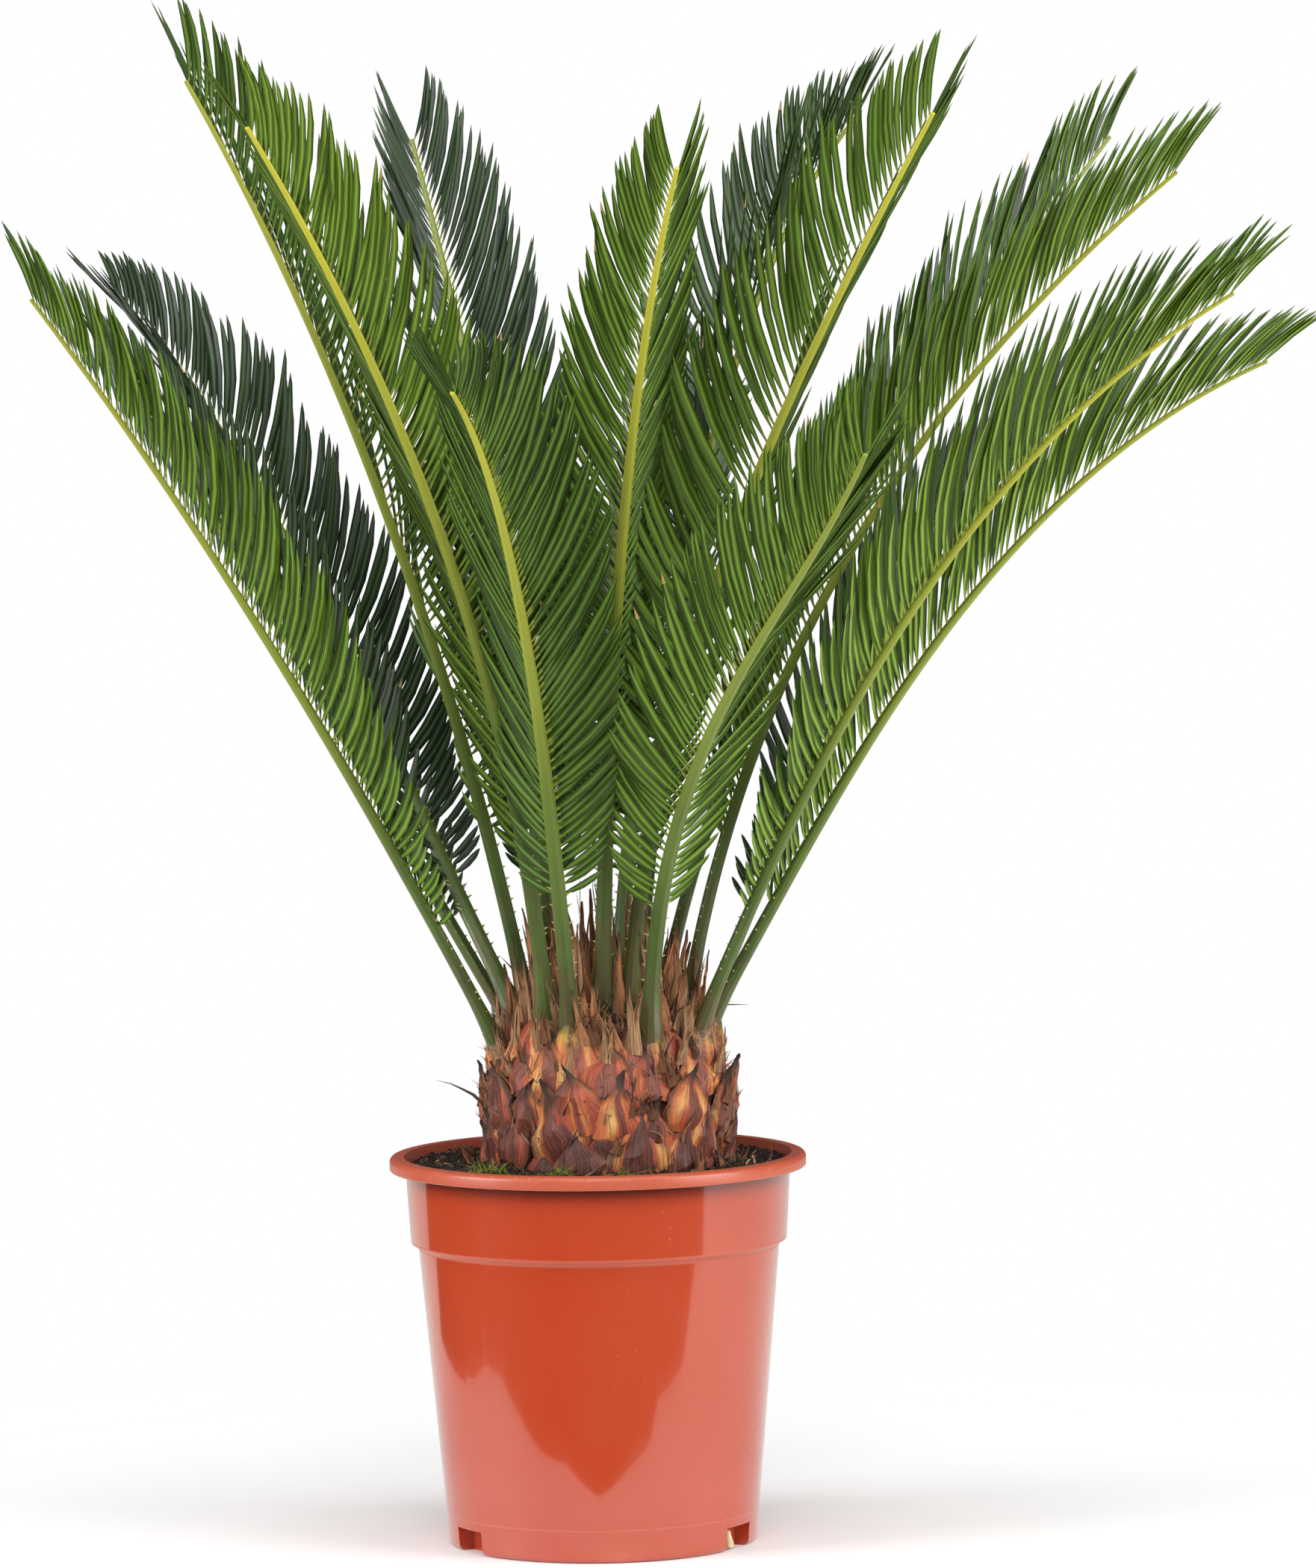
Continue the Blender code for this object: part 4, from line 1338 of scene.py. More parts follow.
# %% Parts that both trees use
BLADE_SIZES = {
    "Ruffle": float,
    "Ruffle scale": float,
    "Seed": int,
    "Blades": bpy.types.Collection,
    "Finish": bpy.types.Material,
}
ROW_SIZES = {
    "Blades a row": int,
    "Rows": int,
    "Width": float,
    "Length": float,
    "Lowest": float,
    "Row pitch": float,
    "Tilt": float,
    **BLADE_SIZES,
}
SCALE_INSET = 0.0036
STEEPEST = 0.4
OUTWARD = 0.06
BELLY_DROP = 0.012


def standing_blades(seats, size, up, out, scale):
    """Stand a picked blade on every seat, ruffle the blades and give them their finish."""
    start = size["Seed"]
    inputs = {"Collection": size["Blades"], "Separate Children": True, "Reset Children": True}
    blades = start.add("GeometryNodeCollectionInfo", {}, inputs)
    picked = {"Pick Instance": True, "Instance Index": chance(start, 0.0, 99.0, start + 50)}
    blades = set_on(seats, blades, facing(up, out), scale, **picked)
    place = start.add("GeometryNodeInputPosition")
    inputs = {"Vector": place, "Scale": size["Ruffle scale"], "Detail": 2.0}
    wave = start.add("ShaderNodeTexNoise", {"noise_dimensions": "3D"}, inputs, "Color")
    shift = total(wave, (-0.5, -0.5, -0.5)).scaled(size["Ruffle"])
    return painted(moved(blades, Offset=shift), size["Finish"])


def row_tree():
    """Rows of blades round the barrel of the trunk."""
    tree, size = new_tree("rows round the trunk", ROW_SIZES)
    start, seed, a_row = size["Width"], size["Seed"], size["Blades a row"]
    seats = start.add("GeometryNodePoints", {}, {"Count": a_row * size["Rows"]})
    number = start.add("GeometryNodeInputIndex")
    row, column = math.floor(number / a_row), number % a_row
    turn = (column + row % 2.0 * 0.5 + chance(start, -0.26, 0.26, seed)) / a_row * (2 * math.pi)
    z = size["Lowest"] + (row + chance(start, -0.34, 0.34, seed + 1)) * size["Row pitch"]
    on_barrel = (z.at_most(CROWN_Z) - BELLY_Z).at_least(-BELLY_DROP)
    radius = BELLY_RADIUS - SCALE_INSET - BELLY_CURVE * on_barrel * on_barrel
    slope = (-2 * BELLY_CURVE * on_barrel).at_least(-STEEPEST).at_most(OUTWARD)
    cos_turn, sin_turn = turn.cosine(), turn.sine()
    seats = moved(seats, Position=joined(TRUNK_X + radius * cos_turn, radius * sin_turn, z))
    tilt = slope + size["Tilt"] + chance(start, -0.08, 0.06, seed + 2)
    sway = chance(start, -0.22, 0.22, seed + 3)
    up = joined(cos_turn * tilt - sin_turn * sway, sin_turn * tilt + cos_turn * sway, 1.0)
    seats = stored(seats, "tone", chance(start, 0.0, 1.0, seed + 4))
    seats = stored(seats, "row", row / (size["Rows"] - 1))
    grown = chance(start, 0.78, 1.14, seed + 5)
    width = size["Width"] * grown
    scale = joined(width, size["Length"] * grown * chance(start, 0.92, 1.16, seed + 6), width)
    end_tree(standing_blades(seats, size, up, joined(cos_turn, sin_turn, 0.0), scale))
    return tree


def seat_tree():
    """A blade on every point of the ground mesh."""
    tree, size = new_tree("blades on seats", {"Ground": bpy.types.Mesh, **BLADE_SIZES})
    start = size["Seed"]
    up, out = named(start, "up", "FLOAT_VECTOR"), named(start, "out", "FLOAT_VECTOR")
    wide, long = named(start, "wide"), named(start, "long")
    end_tree(standing_blades(size["Ground"], size, up, out, joined(wide, long, wide)))
    return tree


Seat = namedtuple("Seat", "place up out wide long tone")


def seat_mesh(seats):
    """Points that carry the directions and sizes of the blades that stand on them."""
    mesh = bpy.data.meshes.new("seats")
    mesh.from_pydata([seat.place for seat in seats], [], [])
    for key in ("up", "out"):
        values = [number for seat in seats for number in getattr(seat, key)]
        mesh.attributes.new(key, "FLOAT_VECTOR", "POINT").data.foreach_set("vector", values)
    for key in ("wide", "long", "tone"):
        values = [getattr(seat, key) for seat in seats]
        mesh.attributes.new(key, "FLOAT", "POINT").data.foreach_set("value", values)
    return mesh


row_rule = row_tree()
seat_rule = seat_tree()
print("nodes in the two trees:", len(row_rule.nodes), len(seat_rule.nodes))


def grow_on_seats(name, seats, slot, blades, material, ruffle, ruffle_scale, seed):
    """Grow a blade on every seat, as one finished piece."""
    sizes = {"Ruffle": ruffle, "Ruffle scale": ruffle_scale, "Seed": seed}
    sizes.update({"Blades": blades, "Finish": material})
    piece = finish_piece(grow(name, seat_rule, sizes, seat_mesh(seats)), slot)
    print(name, len(seats), "triangles:", triangles(piece))


# %% [markdown]
# ## Colours of the shields
# Each shield carries how far a point is up it and across it, its row and a random tone. A
# dry plum-brown plate covers its middle, with fine grooves that run together at the point.
# Where the plate ends, the fresh flank shows, red at first and then orange and yellow. Low
# down the plates are wide and dark. Higher up they are narrow and the flanks are bright.

# %% Finish the shields
SCALE_DUSK = (0.07, 0.016, 0.011)
SCALE_PLUM = (0.21, 0.058, 0.042)
SCALE_PINK = (0.4, 0.11, 0.066)
SCALE_RED = (0.44, 0.066, 0.03)
SCALE_ORANGE = (0.74, 0.2, 0.05)
SCALE_YELLOW = (0.86, 0.48, 0.135)
SCALE_SOIL = (0.04, 0.02, 0.013)
SCALE_BROWN = (0.085, 0.045, 0.026)
SCALE_POINT = (0.05, 0.034, 0.023)
BLADES_APART = 61.0
DEALING = 7.31


def on_blade(start, across_scale, reach_scale, detail=3.0):
    """Noise on a blade's own attributes, drawn out along it, another for every blade."""
    across, reach, tone = (carried(start, key) for key in ("across", "reach", "tone"))
    place = joined(across * across_scale, reach * reach_scale, tone * BLADES_APART)
    inputs = {"Vector": place, "Scale": 1.0, "Detail": detail, "Roughness": 0.6}
    return start.add("ShaderNodeTexNoise", {"noise_dimensions": "3D"}, inputs)


scale_material, start, feed = new_material("trunk shield", Coat_Weight=0.12, Coat_Roughness=0.3)
reach, across, tone, row = (carried(start, key) for key in ("reach", "across", "tone", "row"))
groove = on_blade(start, 10.0, 0.7)
hair = on_blade(start, 34.0, 1.0, 2.0)
flame = on_blade(start, 1.3, 0.9, 1.0)
patch = fractal(start, 95, (1, 1, 0.6), 3.0)
dirt = fractal(start, 60, (1, 1, 0.8), 4.0, 0.65)
side = abs(across)
dealt = (tone * DEALING).fraction()
plate = 0.96 - row * 0.62 - dealt * 0.56 - reach * 0.1 + (groove - 0.5) * 0.45 + (patch - 0.5) * 0.4
past = side - plate.at_least(0.1)
dry_plate = blended(groove.ramp(0.38, 0.62), SCALE_DUSK, SCALE_PLUM)
body = blended((row * 0.9 + patch - 0.35).ramp(0.35, 0.95) * 0.75, dry_plate, SCALE_PINK)
body = blended(past.ramp(-0.05, 0.02), body, SCALE_RED)
warmth = flame + row * 0.1
body = blended(past.ramp(0.0, 0.12) * warmth.ramp(0.42, 0.56), body, SCALE_ORANGE)
glow = past.ramp(0.04, 0.18) * past.ramp(0.56, 0.3) * warmth.ramp(0.51, 0.62)
body = blended(glow * reach.ramp(0.66, 0.42) * reach.ramp(0.08, 0.22), body, SCALE_YELLOW)
# The edges are brown as dry shield edges are, and darkened further as painted shade for the gaps between
# overlapping shields.
body = blended((side + (patch - 0.5) * 0.5).ramp(0.74, 0.98) * 0.85, body, SCALE_BROWN)
dry = (reach + patch * 0.3).ramp(0.76, 0.98)
body = blended(dry, body, SCALE_BROWN)
body = blended((dirt - row * 0.1 + groove * 0.12).ramp(0.54, 0.68) * 0.55, body, SCALE_SOIL)
body = blended(groove.ramp(0.56, 0.7) * reach.ramp(0.0, 0.4) * 0.6, body, SCALE_DUSK)
body = blended(hair.ramp(0.52, 0.62) * 0.5, body, SCALE_BROWN)
body = blended(hair.ramp(0.46, 0.36) * 0.35, body, SCALE_PINK)
feed("Base Color", blended(reach.ramp(0.82, 0.95), body, SCALE_POINT))
feed("Roughness", 0.4 + dry * 0.3 + groove * 0.15)
feed("Normal", bumped(groove + hair * 0.5 + patch * 0.4, 0.0018, 1.0))

scale_sizes = {
    "Blades a row": 14,
    "Rows": 5,
    "Width": 0.0285,
    "Length": 0.033,
    "Lowest": 0.164,
    "Row pitch": 0.0132,
    "Tilt": 0.03,
    "Ruffle": 0.0075,
    "Ruffle scale": 105.0,
    "Seed": 7,
    "Blades": shields,
    "Finish": scale_material,
}
scales = grow("trunk_scales", row_rule, scale_sizes)
finish_piece(scales, "trunk", "trunk")
print("scale triangles:", triangles(scales))

# %% [markdown]
# ## Feet of the stalks
# A living stalk also stands on a shield, a blunt one that is as wide as the stalk at its
# top. It is green where the stalk begins, then yellow and orange, and red where it leaves
# the trunk. Brown wool clings to it. Each is set from the barrel up to the foot of its own
# frond, so it sits on the trunk from every side.

# %% Set the feet
BASE_ROOT_Z = 0.213
BASE_INSET = 0.006
BASE_WIDTH = 0.0235
BASE_PAST = 0.005
BASE_BEHIND = 0.003
OUTER_FOOT = 0.035


def direction_of(frond):
    lean = math.radians(frond[3][0])
    return outward(math.radians(frond[2][0])) * math.sin(lean) + Vector((0.0, 0.0, math.cos(lean)))


def base_seats():
    rng = random.Random(3)
    seats = []
    for frond in FRONDS.values():
        if frond[1] > OUTER_FOOT:
            out = outward(math.radians(frond[0]))
            root = beside_trunk(out, barrel_radius(BASE_ROOT_Z) - BASE_INSET, BASE_ROOT_Z)
            top = foot_of(frond) + direction_of(frond) * BASE_PAST - out * BASE_BEHIND
            up = top - root
            seats.append(Seat(root, up.normalized(), out, BASE_WIDTH, up.length, rng.random()))
    return seats


FOOT_OCHRE = (0.48, 0.3, 0.05)
FOOT_WOOL = (0.27, 0.12, 0.055)
FOOT_WOOL_DARK = (0.07, 0.032, 0.017)

base_material, start, feed = new_material("stalk foot", Roughness=0.5, Specular_IOR_Level=0.4)
reach, across = carried(start, "reach"), carried(start, "across")
groove = on_blade(start, 5.0, 0.7)
patch = fractal(start, 120, (1, 1, 0.5), 4.0)
rise = reach + (patch - 0.5) * 0.35
body = blended(rise.ramp(0.1, 0.38), SCALE_RED, SCALE_ORANGE)
body = blended(rise.ramp(0.44, 0.62), body, FOOT_OCHRE)
body = blended(rise.ramp(0.62, 0.82), body, STALK_GREEN)
side = abs(across)
wool = (patch * 0.7 + groove * 0.4 + side * 0.28).ramp(0.52, 0.68)
wool_shade = blended(fractal(start, 500).ramp(0.4, 0.6), FOOT_WOOL_DARK, FOOT_WOOL)
feed("Base Color", blended(wool * 0.9, body, wool_shade))
feed("Normal", bumped(groove + patch, 0.0012, 0.7))
grow_on_seats("stalk_feet", base_seats(), "trunk", stalk_base, base_material, 0.003, 150.0, 91)

# %% [markdown]
# ## The crown's wool and papery bracts
# Behind the shields is a core of brown wool. Between the stalks stand dry papery bracts:
# narrow, folded, tan, with brown threads for points. The core is turned. The bracts stand
# in rings, and a place that a stalk already has is left free.

# %% Turn the core
CORE_STEPS = 14
CORE_FOOT = 0.164
CORE_INSET = 0.0045


def core_profile():
    profile = [(0.0, CROWN_Z + CROWN_RISE)]
    rim = barrel_radius(CROWN_Z) - CORE_INSET
    for i in range(1, CORE_STEPS):
        radius = rim * i / CORE_STEPS
        profile.append((radius, crown_height(radius)))
    for i in range(CORE_STEPS + 1):
        z = CROWN_Z + (CORE_FOOT - CROWN_Z) * i / CORE_STEPS
        profile.append((barrel_radius(z) - CORE_INSET, z))
    return profile + [(0.0, CORE_FOOT)]


WOOL_DARK = (0.04, 0.02, 0.011)
WOOL_TAN = (0.21, 0.1, 0.045)

core = applied(turned("trunk_core", core_profile()))
for vert in core.data.vertices:
    wave = noise.noise_vector(vert.co * 160) * 0.0012
    vert.co += wave + Vector((TRUNK_X, 0.0, 0.0))
wool_material = grained(
    "crown wool", WOOL_DARK, WOOL_TAN, (320, (1, 1, 0.3), 4.0), (0.38, 0.66), (0.002, 1.0),
    Roughness=0.95, Specular_IOR_Level=0.2,
)
core.data.materials.append(wool_material)
finish_piece(core, "trunk")

# %% Two kinds of bract
FELT_ROWS_ALONG = (0.0, 0.1, 0.22, 0.36, 0.5, 0.64, 0.76, 0.87, 1.0)
FELT_COLUMNS_ACROSS = (-1.0, -0.6, -0.2, 0.2, 0.6, 1.0)
FELT_HALF_WIDTHS = (0.42, 0.5, 0.47, 0.39, 0.29, 0.19, 0.11, 0.055, 0.01)
FELT_THICKNESS = 0.05
STRIP_ROWS_ALONG = (0.0, 0.15, 0.35, 0.55, 0.75, 0.9, 1.0)
STRIP_COLUMNS_ACROSS = (-1.0, 0.0, 1.0)
STRIP_HALF_WIDTHS = (0.15, 0.18, 0.15, 0.11, 0.07, 0.035, 0.008)
STRIPS = 5
STRIP_THICKNESS = 0.03


def felt_bract(name, fold, twist, bend):
    """A folded woolly strip with a long point, twisted and bent a little."""

    def front(t, s):
        half = between(t, FELT_ROWS_ALONG, FELT_HALF_WIDTHS)
        lift = fold * half * (1 - abs(s) ** 1.4) + 0.06 * math.sin(11 * s + 7 * t)
        turn = twist * t
        x, z = half * s, lift
        aside = x * math.cos(turn) - z * math.sin(turn) + bend * t * t
        return (aside, t, x * math.sin(turn) + z * math.cos(turn))

    def back(t, s):
        x, y, z = front(t, s)
        half = between(t, FELT_ROWS_ALONG, FELT_HALF_WIDTHS)
        return (x, y, z - FELT_THICKNESS * min(half / 0.2, 1.0))

    return sewn_blade(name, front, back, FELT_ROWS_ALONG, FELT_COLUMNS_ACROSS)


def torn_bract(name, seed):
    """Strips side by side that close up towards the point, each torn at its own height."""
    rng = random.Random(seed)

    def strip(place):
        height = rng.uniform(0.5, 1.0) if place else 1.0
        sway, curl, roll = rng.uniform(-0.4, 0.4), rng.uniform(-0.5, 0.8), rng.uniform(-1.2, 1.2)

        def front(t, s):
            half = between(t, STRIP_ROWS_ALONG, STRIP_HALF_WIDTHS)
            middle = place * 0.36 * (1 - 0.65 * t) + sway * t * t
            turn = roll * t
            lift = 0.3 - 0.9 * (place * 0.5) ** 2 + curl * t ** 3 * 0.5
            x, z = half * s, half * 0.5 * (1 - s * s)
            out = lift + x * math.sin(turn) + z * math.cos(turn)
            return (middle + x * math.cos(turn) - z * math.sin(turn), t * height, out)

        def back(t, s):
            x, y, z = front(t, s)
            return (x, y, z - STRIP_THICKNESS * (1 - 0.8 * t))

        return front, back

    places = [2 * (i + 0.5) / STRIPS - 1 for i in range(STRIPS)]
    return sewn_tuft(name, [strip(place) for place in places], STRIP_ROWS_ALONG, STRIP_COLUMNS_ACROSS)


felt_kit = kit(
    "felt bracts",
    felt_bract("felt plain", 0.5, 0.3, 0.1),
    felt_bract("felt turned", 0.8, 1.1, -0.25),
    felt_bract("felt bent", 0.6, -0.7, 0.4),
)
torn_kit = kit("torn bracts", *(torn_bract(f"torn {seed}", seed) for seed in (1, 2, 3, 4)))

# %% Where the bracts stand
# Radius of a ring on the crown, bracts in it, lowest and highest, narrowest and widest
TORN_RINGS = (
    (0.0515, 12, (0.012, 0.02), (0.005, 0.008)),
    (0.047, 26, (0.018, 0.036), (0.006, 0.01)),
    (0.039, 22, (0.024, 0.046), (0.0065, 0.011)),
    (0.028, 14, (0.034, 0.056), (0.0065, 0.011)),
    (0.012, 6, (0.044, 0.066), (0.0065, 0.011)),
)
FELT_RINGS = (
    (0.044, 16, (0.016, 0.03), (0.006, 0.01)),
    (0.039, 18, (0.024, 0.04), (0.006, 0.0105)),
    (0.029, 16, (0.034, 0.052), (0.007, 0.0115)),
    (0.017, 10, (0.042, 0.062), (0.007, 0.0115)),
)
BRACT_LEAN = (0.02, 0.24)
STALK_CLEAR = 0.0055
BRACT_SINK = 0.005
BRACT_WAIST = Vector((0.0, 0.0, 0.014))


def aslant(rng, spread):
    """A direction near straight up."""
    return Vector((rng.uniform(-spread, spread), rng.uniform(-spread, spread), 1.0))


def bract_seats(rings, seed):
    rng = random.Random(seed)
    steps = (0.0, 0.008, 0.016)
    stalks = [foot_of(frond) + direction_of(frond) * step for frond in FRONDS.values() for step in steps]
    seats = []
    for radius, count, heights, widths in rings:
        for i in range(count):
            out = outward(2 * math.pi * (i + rng.uniform(0.0, 0.8)) / count)
            away = radius + rng.uniform(-0.002, 0.002)
            place = beside_trunk(out, away, crown_height(away) - BRACT_SINK)
            up = aslant(rng, 0.12) + out * rng.uniform(*BRACT_LEAN)
            front = out + Vector((rng.uniform(-0.6, 0.6), rng.uniform(-0.6, 0.6), 0.0))
            seat = Seat(place, up, front, rng.uniform(*widths), rng.uniform(*heights), rng.random())
            if min((place + BRACT_WAIST - stalk).length for stalk in stalks) > STALK_CLEAR:
                seats.append(seat)
    return seats


RAGS = 56
RAG_LENGTHS = (0.008, 0.016)
RAG_WIDTHS = (0.004, 0.0075)
RAG_HEIGHTS = (0.178, 0.234)
RAG_SUNK = 0.0015
RAG_LEAN = 0.12


def rag_seats():
    """Rags of old leaves that cling to the trunk among its shields."""
    rng = random.Random(16)
    seats = []
    for i in range(RAGS):
        out = outward(2 * math.pi * (i + rng.uniform(0.0, 0.9)) / RAGS)
        z = rng.uniform(*RAG_HEIGHTS)
        place = beside_trunk(out, barrel_radius(min(z, CROWN_Z)) - rng.uniform(0.0, RAG_SUNK), z)
        sway = Vector((-out.y, out.x, 0.0)) * rng.uniform(-0.5, 0.5)
        up = Vector((0.0, 0.0, 1.0)) + out * rng.uniform(-RAG_LEAN, RAG_LEAN) + sway
        seats.append(Seat(place, up, out, rng.uniform(*RAG_WIDTHS), rng.uniform(*RAG_LENGTHS), rng.random()))
    return seats


# %% Finish and grow the bracts
BRACT_TAN = (0.78, 0.45, 0.23)
BRACT_RUST = (0.32, 0.115, 0.05)
BRACT_POINT = (0.09, 0.046, 0.028)
RAG_BROWN = (0.33, 0.14, 0.064)
FELT_LIGHT = (0.7, 0.3, 0.13)
FELT_DARK = (0.3, 0.11, 0.05)


def bract_material(name, light, dark, roughness):
    """Drawn-out fibres in two shades, darker at the point."""
    material, start, feed = new_material(name, Specular_IOR_Level=0.3)
    reach, tone = carried(start, "reach"), carried(start, "tone")
    fibre = on_blade(start, 12.0, 0.9, 4.0)
    wool = fractal(start, 600, (1, 1, 0.3), 3.0)
    body = blended((fibre * 1.1 + wool * 0.3 + tone * 0.3).ramp(0.6, 0.98), dark, light)
    body = blended(fibre.ramp(0.5, 0.38) * 0.7, body, BRACT_POINT)
    feed("Base Color", blended((reach + fibre * 0.4).ramp(0.92, 1.2), body, BRACT_POINT))
    feed("Roughness", roughness + fibre * 0.2)
    feed("Normal", bumped(fibre + wool * 0.5, 0.0016, 1.0))
    return material


dry_bract = bract_material("dry bract", BRACT_TAN, BRACT_RUST, 0.62)
felt = bract_material("felt bract", FELT_LIGHT, FELT_DARK, 0.8)
rag = bract_material("rag", RAG_BROWN, BRACT_POINT, 0.8)
for name, seats, blades, material in (
    ("papery_bracts", bract_seats(TORN_RINGS, 12), torn_kit, dry_bract),
    ("felt_bracts", bract_seats(FELT_RINGS, 14), felt_kit, felt),
    ("trunk_rags", rag_seats(), torn_kit, rag),
):
    grow_on_seats(name, seats, "trunk", blades, material, 0.0028, 170.0, 41)

# %% [markdown]
# ## Threads and wool
# Dry threads hang about the whole trunk: the points of old shields, torn edges of bracts
# and tufts of wool in every gap. They are what makes it look grown. Hundreds of thin spikes
# are stood on the core, most of them short and tan, and some dark and long that reach out
# past the shields.

# %% Threads
THREAD_TONES = {
    "tan": (0.34, 0.19, 0.09),
    "brown": (0.15, 0.07, 0.036),
    "black": (0.03, 0.021, 0.016),
    "stray": (0.06, 0.036, 0.022),
}

# Seats, shortest and longest thread, width, least and most lean away from the trunk, seed
THREADS = {
    "tan": (620, (0.005, 0.012), 0.0009, (0.05, 0.45), 5),
    "brown": (480, (0.006, 0.013), 0.001, (0.05, 0.4), 6),
    "black": (50, (0.01, 0.02), 0.0013, (0.05, 0.4), 8),
    "stray": (16, (0.018, 0.028), 0.0015, (0.35, 0.9), 11),
}
CROWN_SHARE = 0.35
THREAD_INSETS = (0.05, 1.1)


def thread_seats(count, lengths, width, lean, seed):
    rng = random.Random(seed)
    seats = []
    for _ in range(count):
        out = outward(rng.uniform(0.0, 2 * math.pi))
        across = Vector((-out.y, out.x, 0.0))
        z = rng.uniform(SOIL_TOP, CROWN_Z) if rng.random() > CROWN_SHARE else CROWN_Z + CLEAR
        radius = barrel_radius(min(z, CROWN_Z)) - CORE_INSET * rng.uniform(*THREAD_INSETS)
        if z > CROWN_Z:
            radius *= rng.uniform(0.5, 1.0)
            z = crown_height(radius)
        up = Vector((0.0, 0.0, 1.0)) + out * rng.uniform(*lean) + across * rng.uniform(-0.6, 0.6)
        front = across * rng.uniform(-1, 1) + out
        sizes = width * rng.uniform(0.7, 1.3), rng.uniform(*lengths)
        seats.append(Seat(beside_trunk(out, radius, z), up, front, *sizes, rng.random()))
    return seats


for tone, (count, lengths, width, lean, seed) in THREADS.items():
    colour = (*THREAD_TONES[tone], 1.0)
    material = new_material(tone + " thread", Base_Color=colour, Roughness=0.8)[0]
    seats = thread_seats(count, lengths, width, lean, seed)
    grow_on_seats(tone + "_threads", seats, "trunk", threads, material, 0.003, 110.0, seed)

# %% [markdown]
# ## Moss, chips and litter
# The soil of a nursery pot is never bare. Bright moss grows in tufts near the trunk, old
# leaf stubs and bits of bark lie at its foot, and dry fibres lie across the crumbs. All are
# set by the same tree of seats, with the blades that the trunk already uses.

# %% Seats on the soil
# Place of a tuft of moss, its radius and how many shoots it has
MOSS_TUFTS = (
    (-0.0165, -0.069, 0.006, 260),
    (-0.052, -0.04, 0.0055, 130),
    (-0.043, -0.052, 0.004, 60),
    (0.012, -0.07, 0.003, 50),
    (0.056, 0.048, 0.006, 160),
    (-0.035, 0.066, 0.005, 120),
)
MOSS_GREEN = (0.19, 0.205, 0.04)
MOSS_SHOOT = ((0.0011, 0.0024), (0.0008, 0.0012))
MOSS_DOME = 0.003
FOOT_STUBS = 26
STUB_SIZES = ((0.009, 0.017), (0.006, 0.01))
STUB_REACH = (0.0565, 0.062)
CHIPS = ((0.067, -0.025), (0.0715, -0.012), (-0.072, -0.01), (0.03, 0.072))
CHIP_SIZES = ((0.004, 0.007), (0.0025, 0.0038))
CHIP_PALE = (0.62, 0.5, 0.3)
STRAWS = 30
STRAW_SIZES = ((0.008, 0.024), (0.0006, 0.0011))
SOIL_REACH = (0.06, 0.081)


def soil_seat(rng, x, y, up, lengths, widths, sunk):
    """A seat on the soil at this place, sunk a little, with a random size."""
    place = Vector((x, y, SOIL_TOP + soil_bank(x, y) - sunk))
    front = Vector((rng.uniform(-1, 1), rng.uniform(-1, 1), rng.uniform(0, 1)))
    return Seat(place, up, front, rng.uniform(*widths), rng.uniform(*lengths), rng.random())


def moss_seats():
    rng = random.Random(21)
    seats = []
    for x, y, radius, count in MOSS_TUFTS:
        for _ in range(count):
            away, turn = radius * math.sqrt(rng.random()), rng.uniform(0, 2 * math.pi)
            aside = outward(turn) * away / radius
            up = aslant(rng, 0.4) + aside
            lift = MOSS_DOME * (1 - (away / radius) ** 2)
            place = (x + aside.x * radius, y + aside.y * radius)
            seats.append(soil_seat(rng, *place, up, *MOSS_SHOOT, sunk=0.0004 - lift))
    return seats


def stub_seats():
    rng = random.Random(22)
    seats = []
    for i in range(FOOT_STUBS):
        out = outward(2 * math.pi * (i + rng.uniform(-0.5, 0.5)) / FOOT_STUBS)
        away = rng.uniform(*STUB_REACH)
        up = aslant(rng, 0.5) + out * rng.uniform(0.0, 0.8)
        seat = soil_seat(rng, TRUNK_X + out.x * away, out.y * away, up, *STUB_SIZES, sunk=0.004)
        seats.append(seat._replace(out=out))
    return seats


def chip_seats():
    rng = random.Random(23)
    seats = []
    for x, y in CHIPS:
        up = Vector((rng.uniform(-1, 1), rng.uniform(-1, 1), rng.uniform(0.1, 0.8)))
        seats.append(soil_seat(rng, x, y, up, *CHIP_SIZES, sunk=0.0))
    return seats


def straw_seats():
    rng = random.Random(24)
    seats = []
    for _ in range(STRAWS):
        turn, away = rng.uniform(0, 2 * math.pi), rng.uniform(*SOIL_REACH)
        x, y = away * math.cos(turn), away * math.sin(turn)
        run = turn + math.pi / 2 + rng.uniform(-0.5, 0.9)
        up = Vector((math.cos(run), math.sin(run), rng.uniform(0.02, 0.16)))
        seats.append(soil_seat(rng, x, y, up, *STRAW_SIZES, sunk=-0.0004))
    return seats


# %% Grow what lies on the soil
def speckled(name, dark, light, scale):
    dull = {"Roughness": 0.8, "Specular_IOR_Level": 0.3}
    return grained(name, dark, light, (scale,), (0.38, 0.62), (0.0006, 0.6), **dull)


moss = speckled("moss", toned(MOSS_GREEN, 0.5), MOSS_GREEN, 300)
stub = speckled("leaf stub", SCALE_POINT, BRACT_RUST, 260)
chip = speckled("bark chip", BRACT_RUST, CHIP_PALE, 200)
straw = speckled("straw", SCALE_BROWN, toned(BRACT_TAN, 0.35), 150)
for name, seats, blades, material, ruffle in (
    ("moss", moss_seats(), threads, moss, 0.0),
    ("leaf_stubs", stub_seats(), torn_kit, stub, 0.004),
    ("bark_chips", chip_seats(), stalk_base, chip, 0.003),
    ("straws", straw_seats(), threads, straw, 0.003),
):
    grow_on_seats(name, seats, "soil", blades, material, ruffle, 140.0, 60)

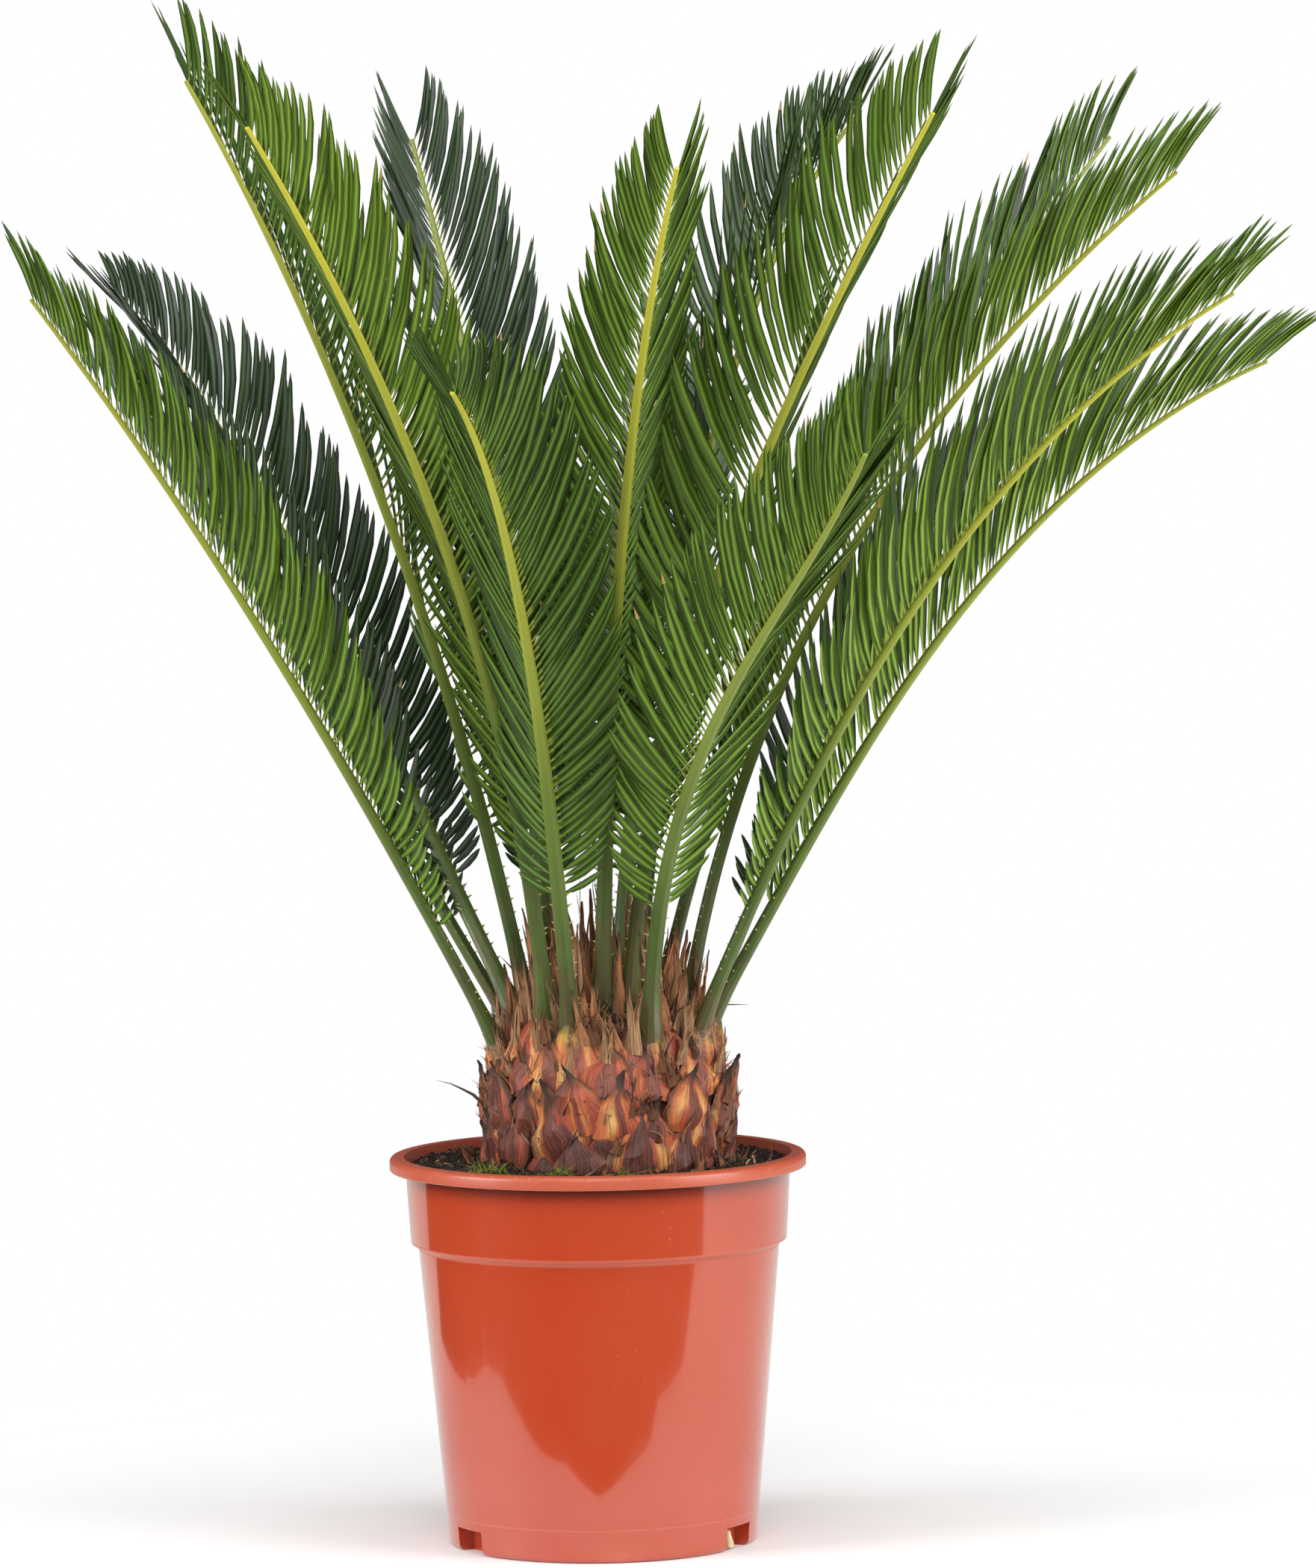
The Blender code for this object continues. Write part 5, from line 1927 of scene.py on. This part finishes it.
# %% [markdown]
# ## The floor and the light
# Soft boxes stand to the left, to the right, above and in front. The pot is glossy, and it
# tapers down, so its front mirrors the floor before it. The wide pale floor gives its pale
# flanks and foot. A black card on the floor, which only the gloss sees, gives the deep shield
# in the middle. Its corners are worked out backwards, from the shield's edge on the pot.

# %% Light the scene
def soft_box(name, place, aim, width, height, power):
    light = bpy.data.lights.new(name, "AREA")
    light.shape = "RECTANGLE"
    light.size = width
    light.size_y = height
    light.energy = power
    obj = bpy.data.objects.new(name, light)
    bpy.context.scene.collection.objects.link(obj)
    obj.location = place
    obj.rotation_euler = (Vector(aim) - Vector(place)).to_track_quat("-Z", "Y").to_euler()


soft_box("left box", (-2.2, -0.9, 1.0), (0, 0, 0.35), 1.2, 1.8, 46)
soft_box("right box", (2.0, -1.0, 0.9), (0, 0, 0.3), 1.5, 2.0, 46)
soft_box("top box", (0.1, -0.4, 2.4), (0, 0, 0.35), 1.8, 1.8, 36)
soft_box("front box", (0.0, -2.9, 2.1), (0, 0, 0.4), 1.6, 0.7, 26)

SEEN_STRENGTH = 1.0
FILL_STRENGTH = 0.33
MIRRORED_STRENGTH = 0.1

world = bpy.data.worlds.new("studio")
bpy.context.scene.world = world
world.use_nodes = True
start = Wire(world.node_tree)
seen = start.add("ShaderNodeLightPath", out="Is Camera Ray")
mirrored = seen.out("Is Glossy Ray")
background = world.node_tree.nodes["Background"]
strength = FILL_STRENGTH + seen * (SEEN_STRENGTH - FILL_STRENGTH)
strength = strength - mirrored * (FILL_STRENGTH - MIRRORED_STRENGTH)
world.node_tree.links.new(strength.socket, background.inputs["Strength"])
background.inputs["Color"].default_value = (1.0, 1.0, 1.0, 1.0)
bpy.context.scene.view_settings.view_transform = "Standard"

# %% Floor and black card
FLOOR_RADIUS = 0.9
FLOOR_CORNERS = 96
FLOOR_COLOUR = (0.98, 0.98, 0.98, 1.0)
FLOOR_FADE = (0.16, 0.55)
FAR_FLOOR_COLOUR = (0.8, 0.78, 0.73, 1.0)
FAR_FLOOR_Z = -0.001
FAR_FLOOR_GROWN = 3.5
CARD_HEIGHT = 0.0005
CARD_REACH = 2.0
CARD_FAR = 2.5

# Edge of the dark shield on the pot's front, as (x, z), from the collar's left down and up again
SHIELD_EDGE = (
    (-0.0765, 0.155), (-0.072, 0.1), (-0.057, 0.08), (-0.051, 0.088), (-0.044, 0.082),
    (-0.036, 0.064), (-0.027, 0.048), (-0.015, 0.042), (-0.001, 0.028), (0.012, 0.04),
    (0.022, 0.052), (0.026, 0.072), (0.037, 0.088), (0.042, 0.128), (0.0494, 0.155),
)


def flat_stage(name, corners, material):
    mesh = bpy.data.meshes.new(name)
    mesh.from_pydata(corners, [], [tuple(range(len(corners)))])
    mesh.materials.append(material)
    obj = put_in_scene(name, mesh)
    return obj


floor_material, start, feed = new_material("floor", Base_Color=FLOOR_COLOUR, Roughness=0.7)
place = start.add("ShaderNodeTexCoord", out="Object")
far = place.add("ShaderNodeVectorMath", {"operation": "LENGTH"}, {0: place}, "Value")
feed("Alpha", far.ramp(*FLOOR_FADE, 1.0, 0.0))
around = [2 * math.pi * i / FLOOR_CORNERS for i in range(FLOOR_CORNERS)]
corners = [(FLOOR_RADIUS * math.cos(turn), FLOOR_RADIUS * math.sin(turn), 0.0) for turn in around]
flat_stage("floor", corners, floor_material)

far_material = new_material("far floor", Base_Color=FAR_FLOOR_COLOUR, Roughness=0.7)[0]
corners = [(x * FAR_FLOOR_GROWN, y * FAR_FLOOR_GROWN, FAR_FLOOR_Z) for x, y, _ in corners]
far_floor = flat_stage("far_floor", corners, far_material)
far_floor.visible_camera = False

card_material = new_material("black card", Base_Color=(0.01, 0.01, 0.01, 1.0), Roughness=0.9)[0]


def mirrored_floor(x, z):
    """The place on the floor that the camera sees mirrored at this place on the pot's front."""
    top, foot, low, high = BODY_TOP_RADIUS, BASE_RADIUS, 0.0, COLLAR_FOOT_Z - LEDGE_HEIGHT
    if z > COLLAR_FOOT_Z:
        top, foot, low, high = COLLAR_TOP_RADIUS, COLLAR_FOOT_RADIUS, COLLAR_FOOT_Z, POT_HEIGHT
    taper = (top - foot) / (high - low)
    radius = foot + taper * (z - low)
    y = -math.sqrt(radius ** 2 - x ** 2)
    normal = Vector((x / radius, y / radius, -taper)).normalized()
    place = Vector((x, y, z))
    ray = (place - CAMERA_PLACE).normalized()
    ray -= 2 * ray.dot(normal) * normal
    return place + ray * (CARD_HEIGHT - z) / ray.z


edge = [mirrored_floor(x, z) for x, z in SHIELD_EDGE]
corners = [edge[0] * CARD_REACH] + edge + [edge[-1] * CARD_REACH]
corners += [Vector((CARD_FAR, -CARD_FAR, 0.0)), Vector((-CARD_FAR, -CARD_FAR, 0.0))]
corners = [(corner.x, corner.y, CARD_HEIGHT) for corner in corners]
print("corners of the card:", len(corners))
card = flat_stage("black_card", corners, card_material)
card.visible_camera = False
card.visible_diffuse = False
card.visible_shadow = False

# %% Put the tools away
bpy.data.objects.remove(leaflet)
for tools in (shields, stalk_base, threads, felt_kit, torn_kit):
    for tool in list(tools.objects):
        bpy.data.objects.remove(tool)
    bpy.data.collections.remove(tools)
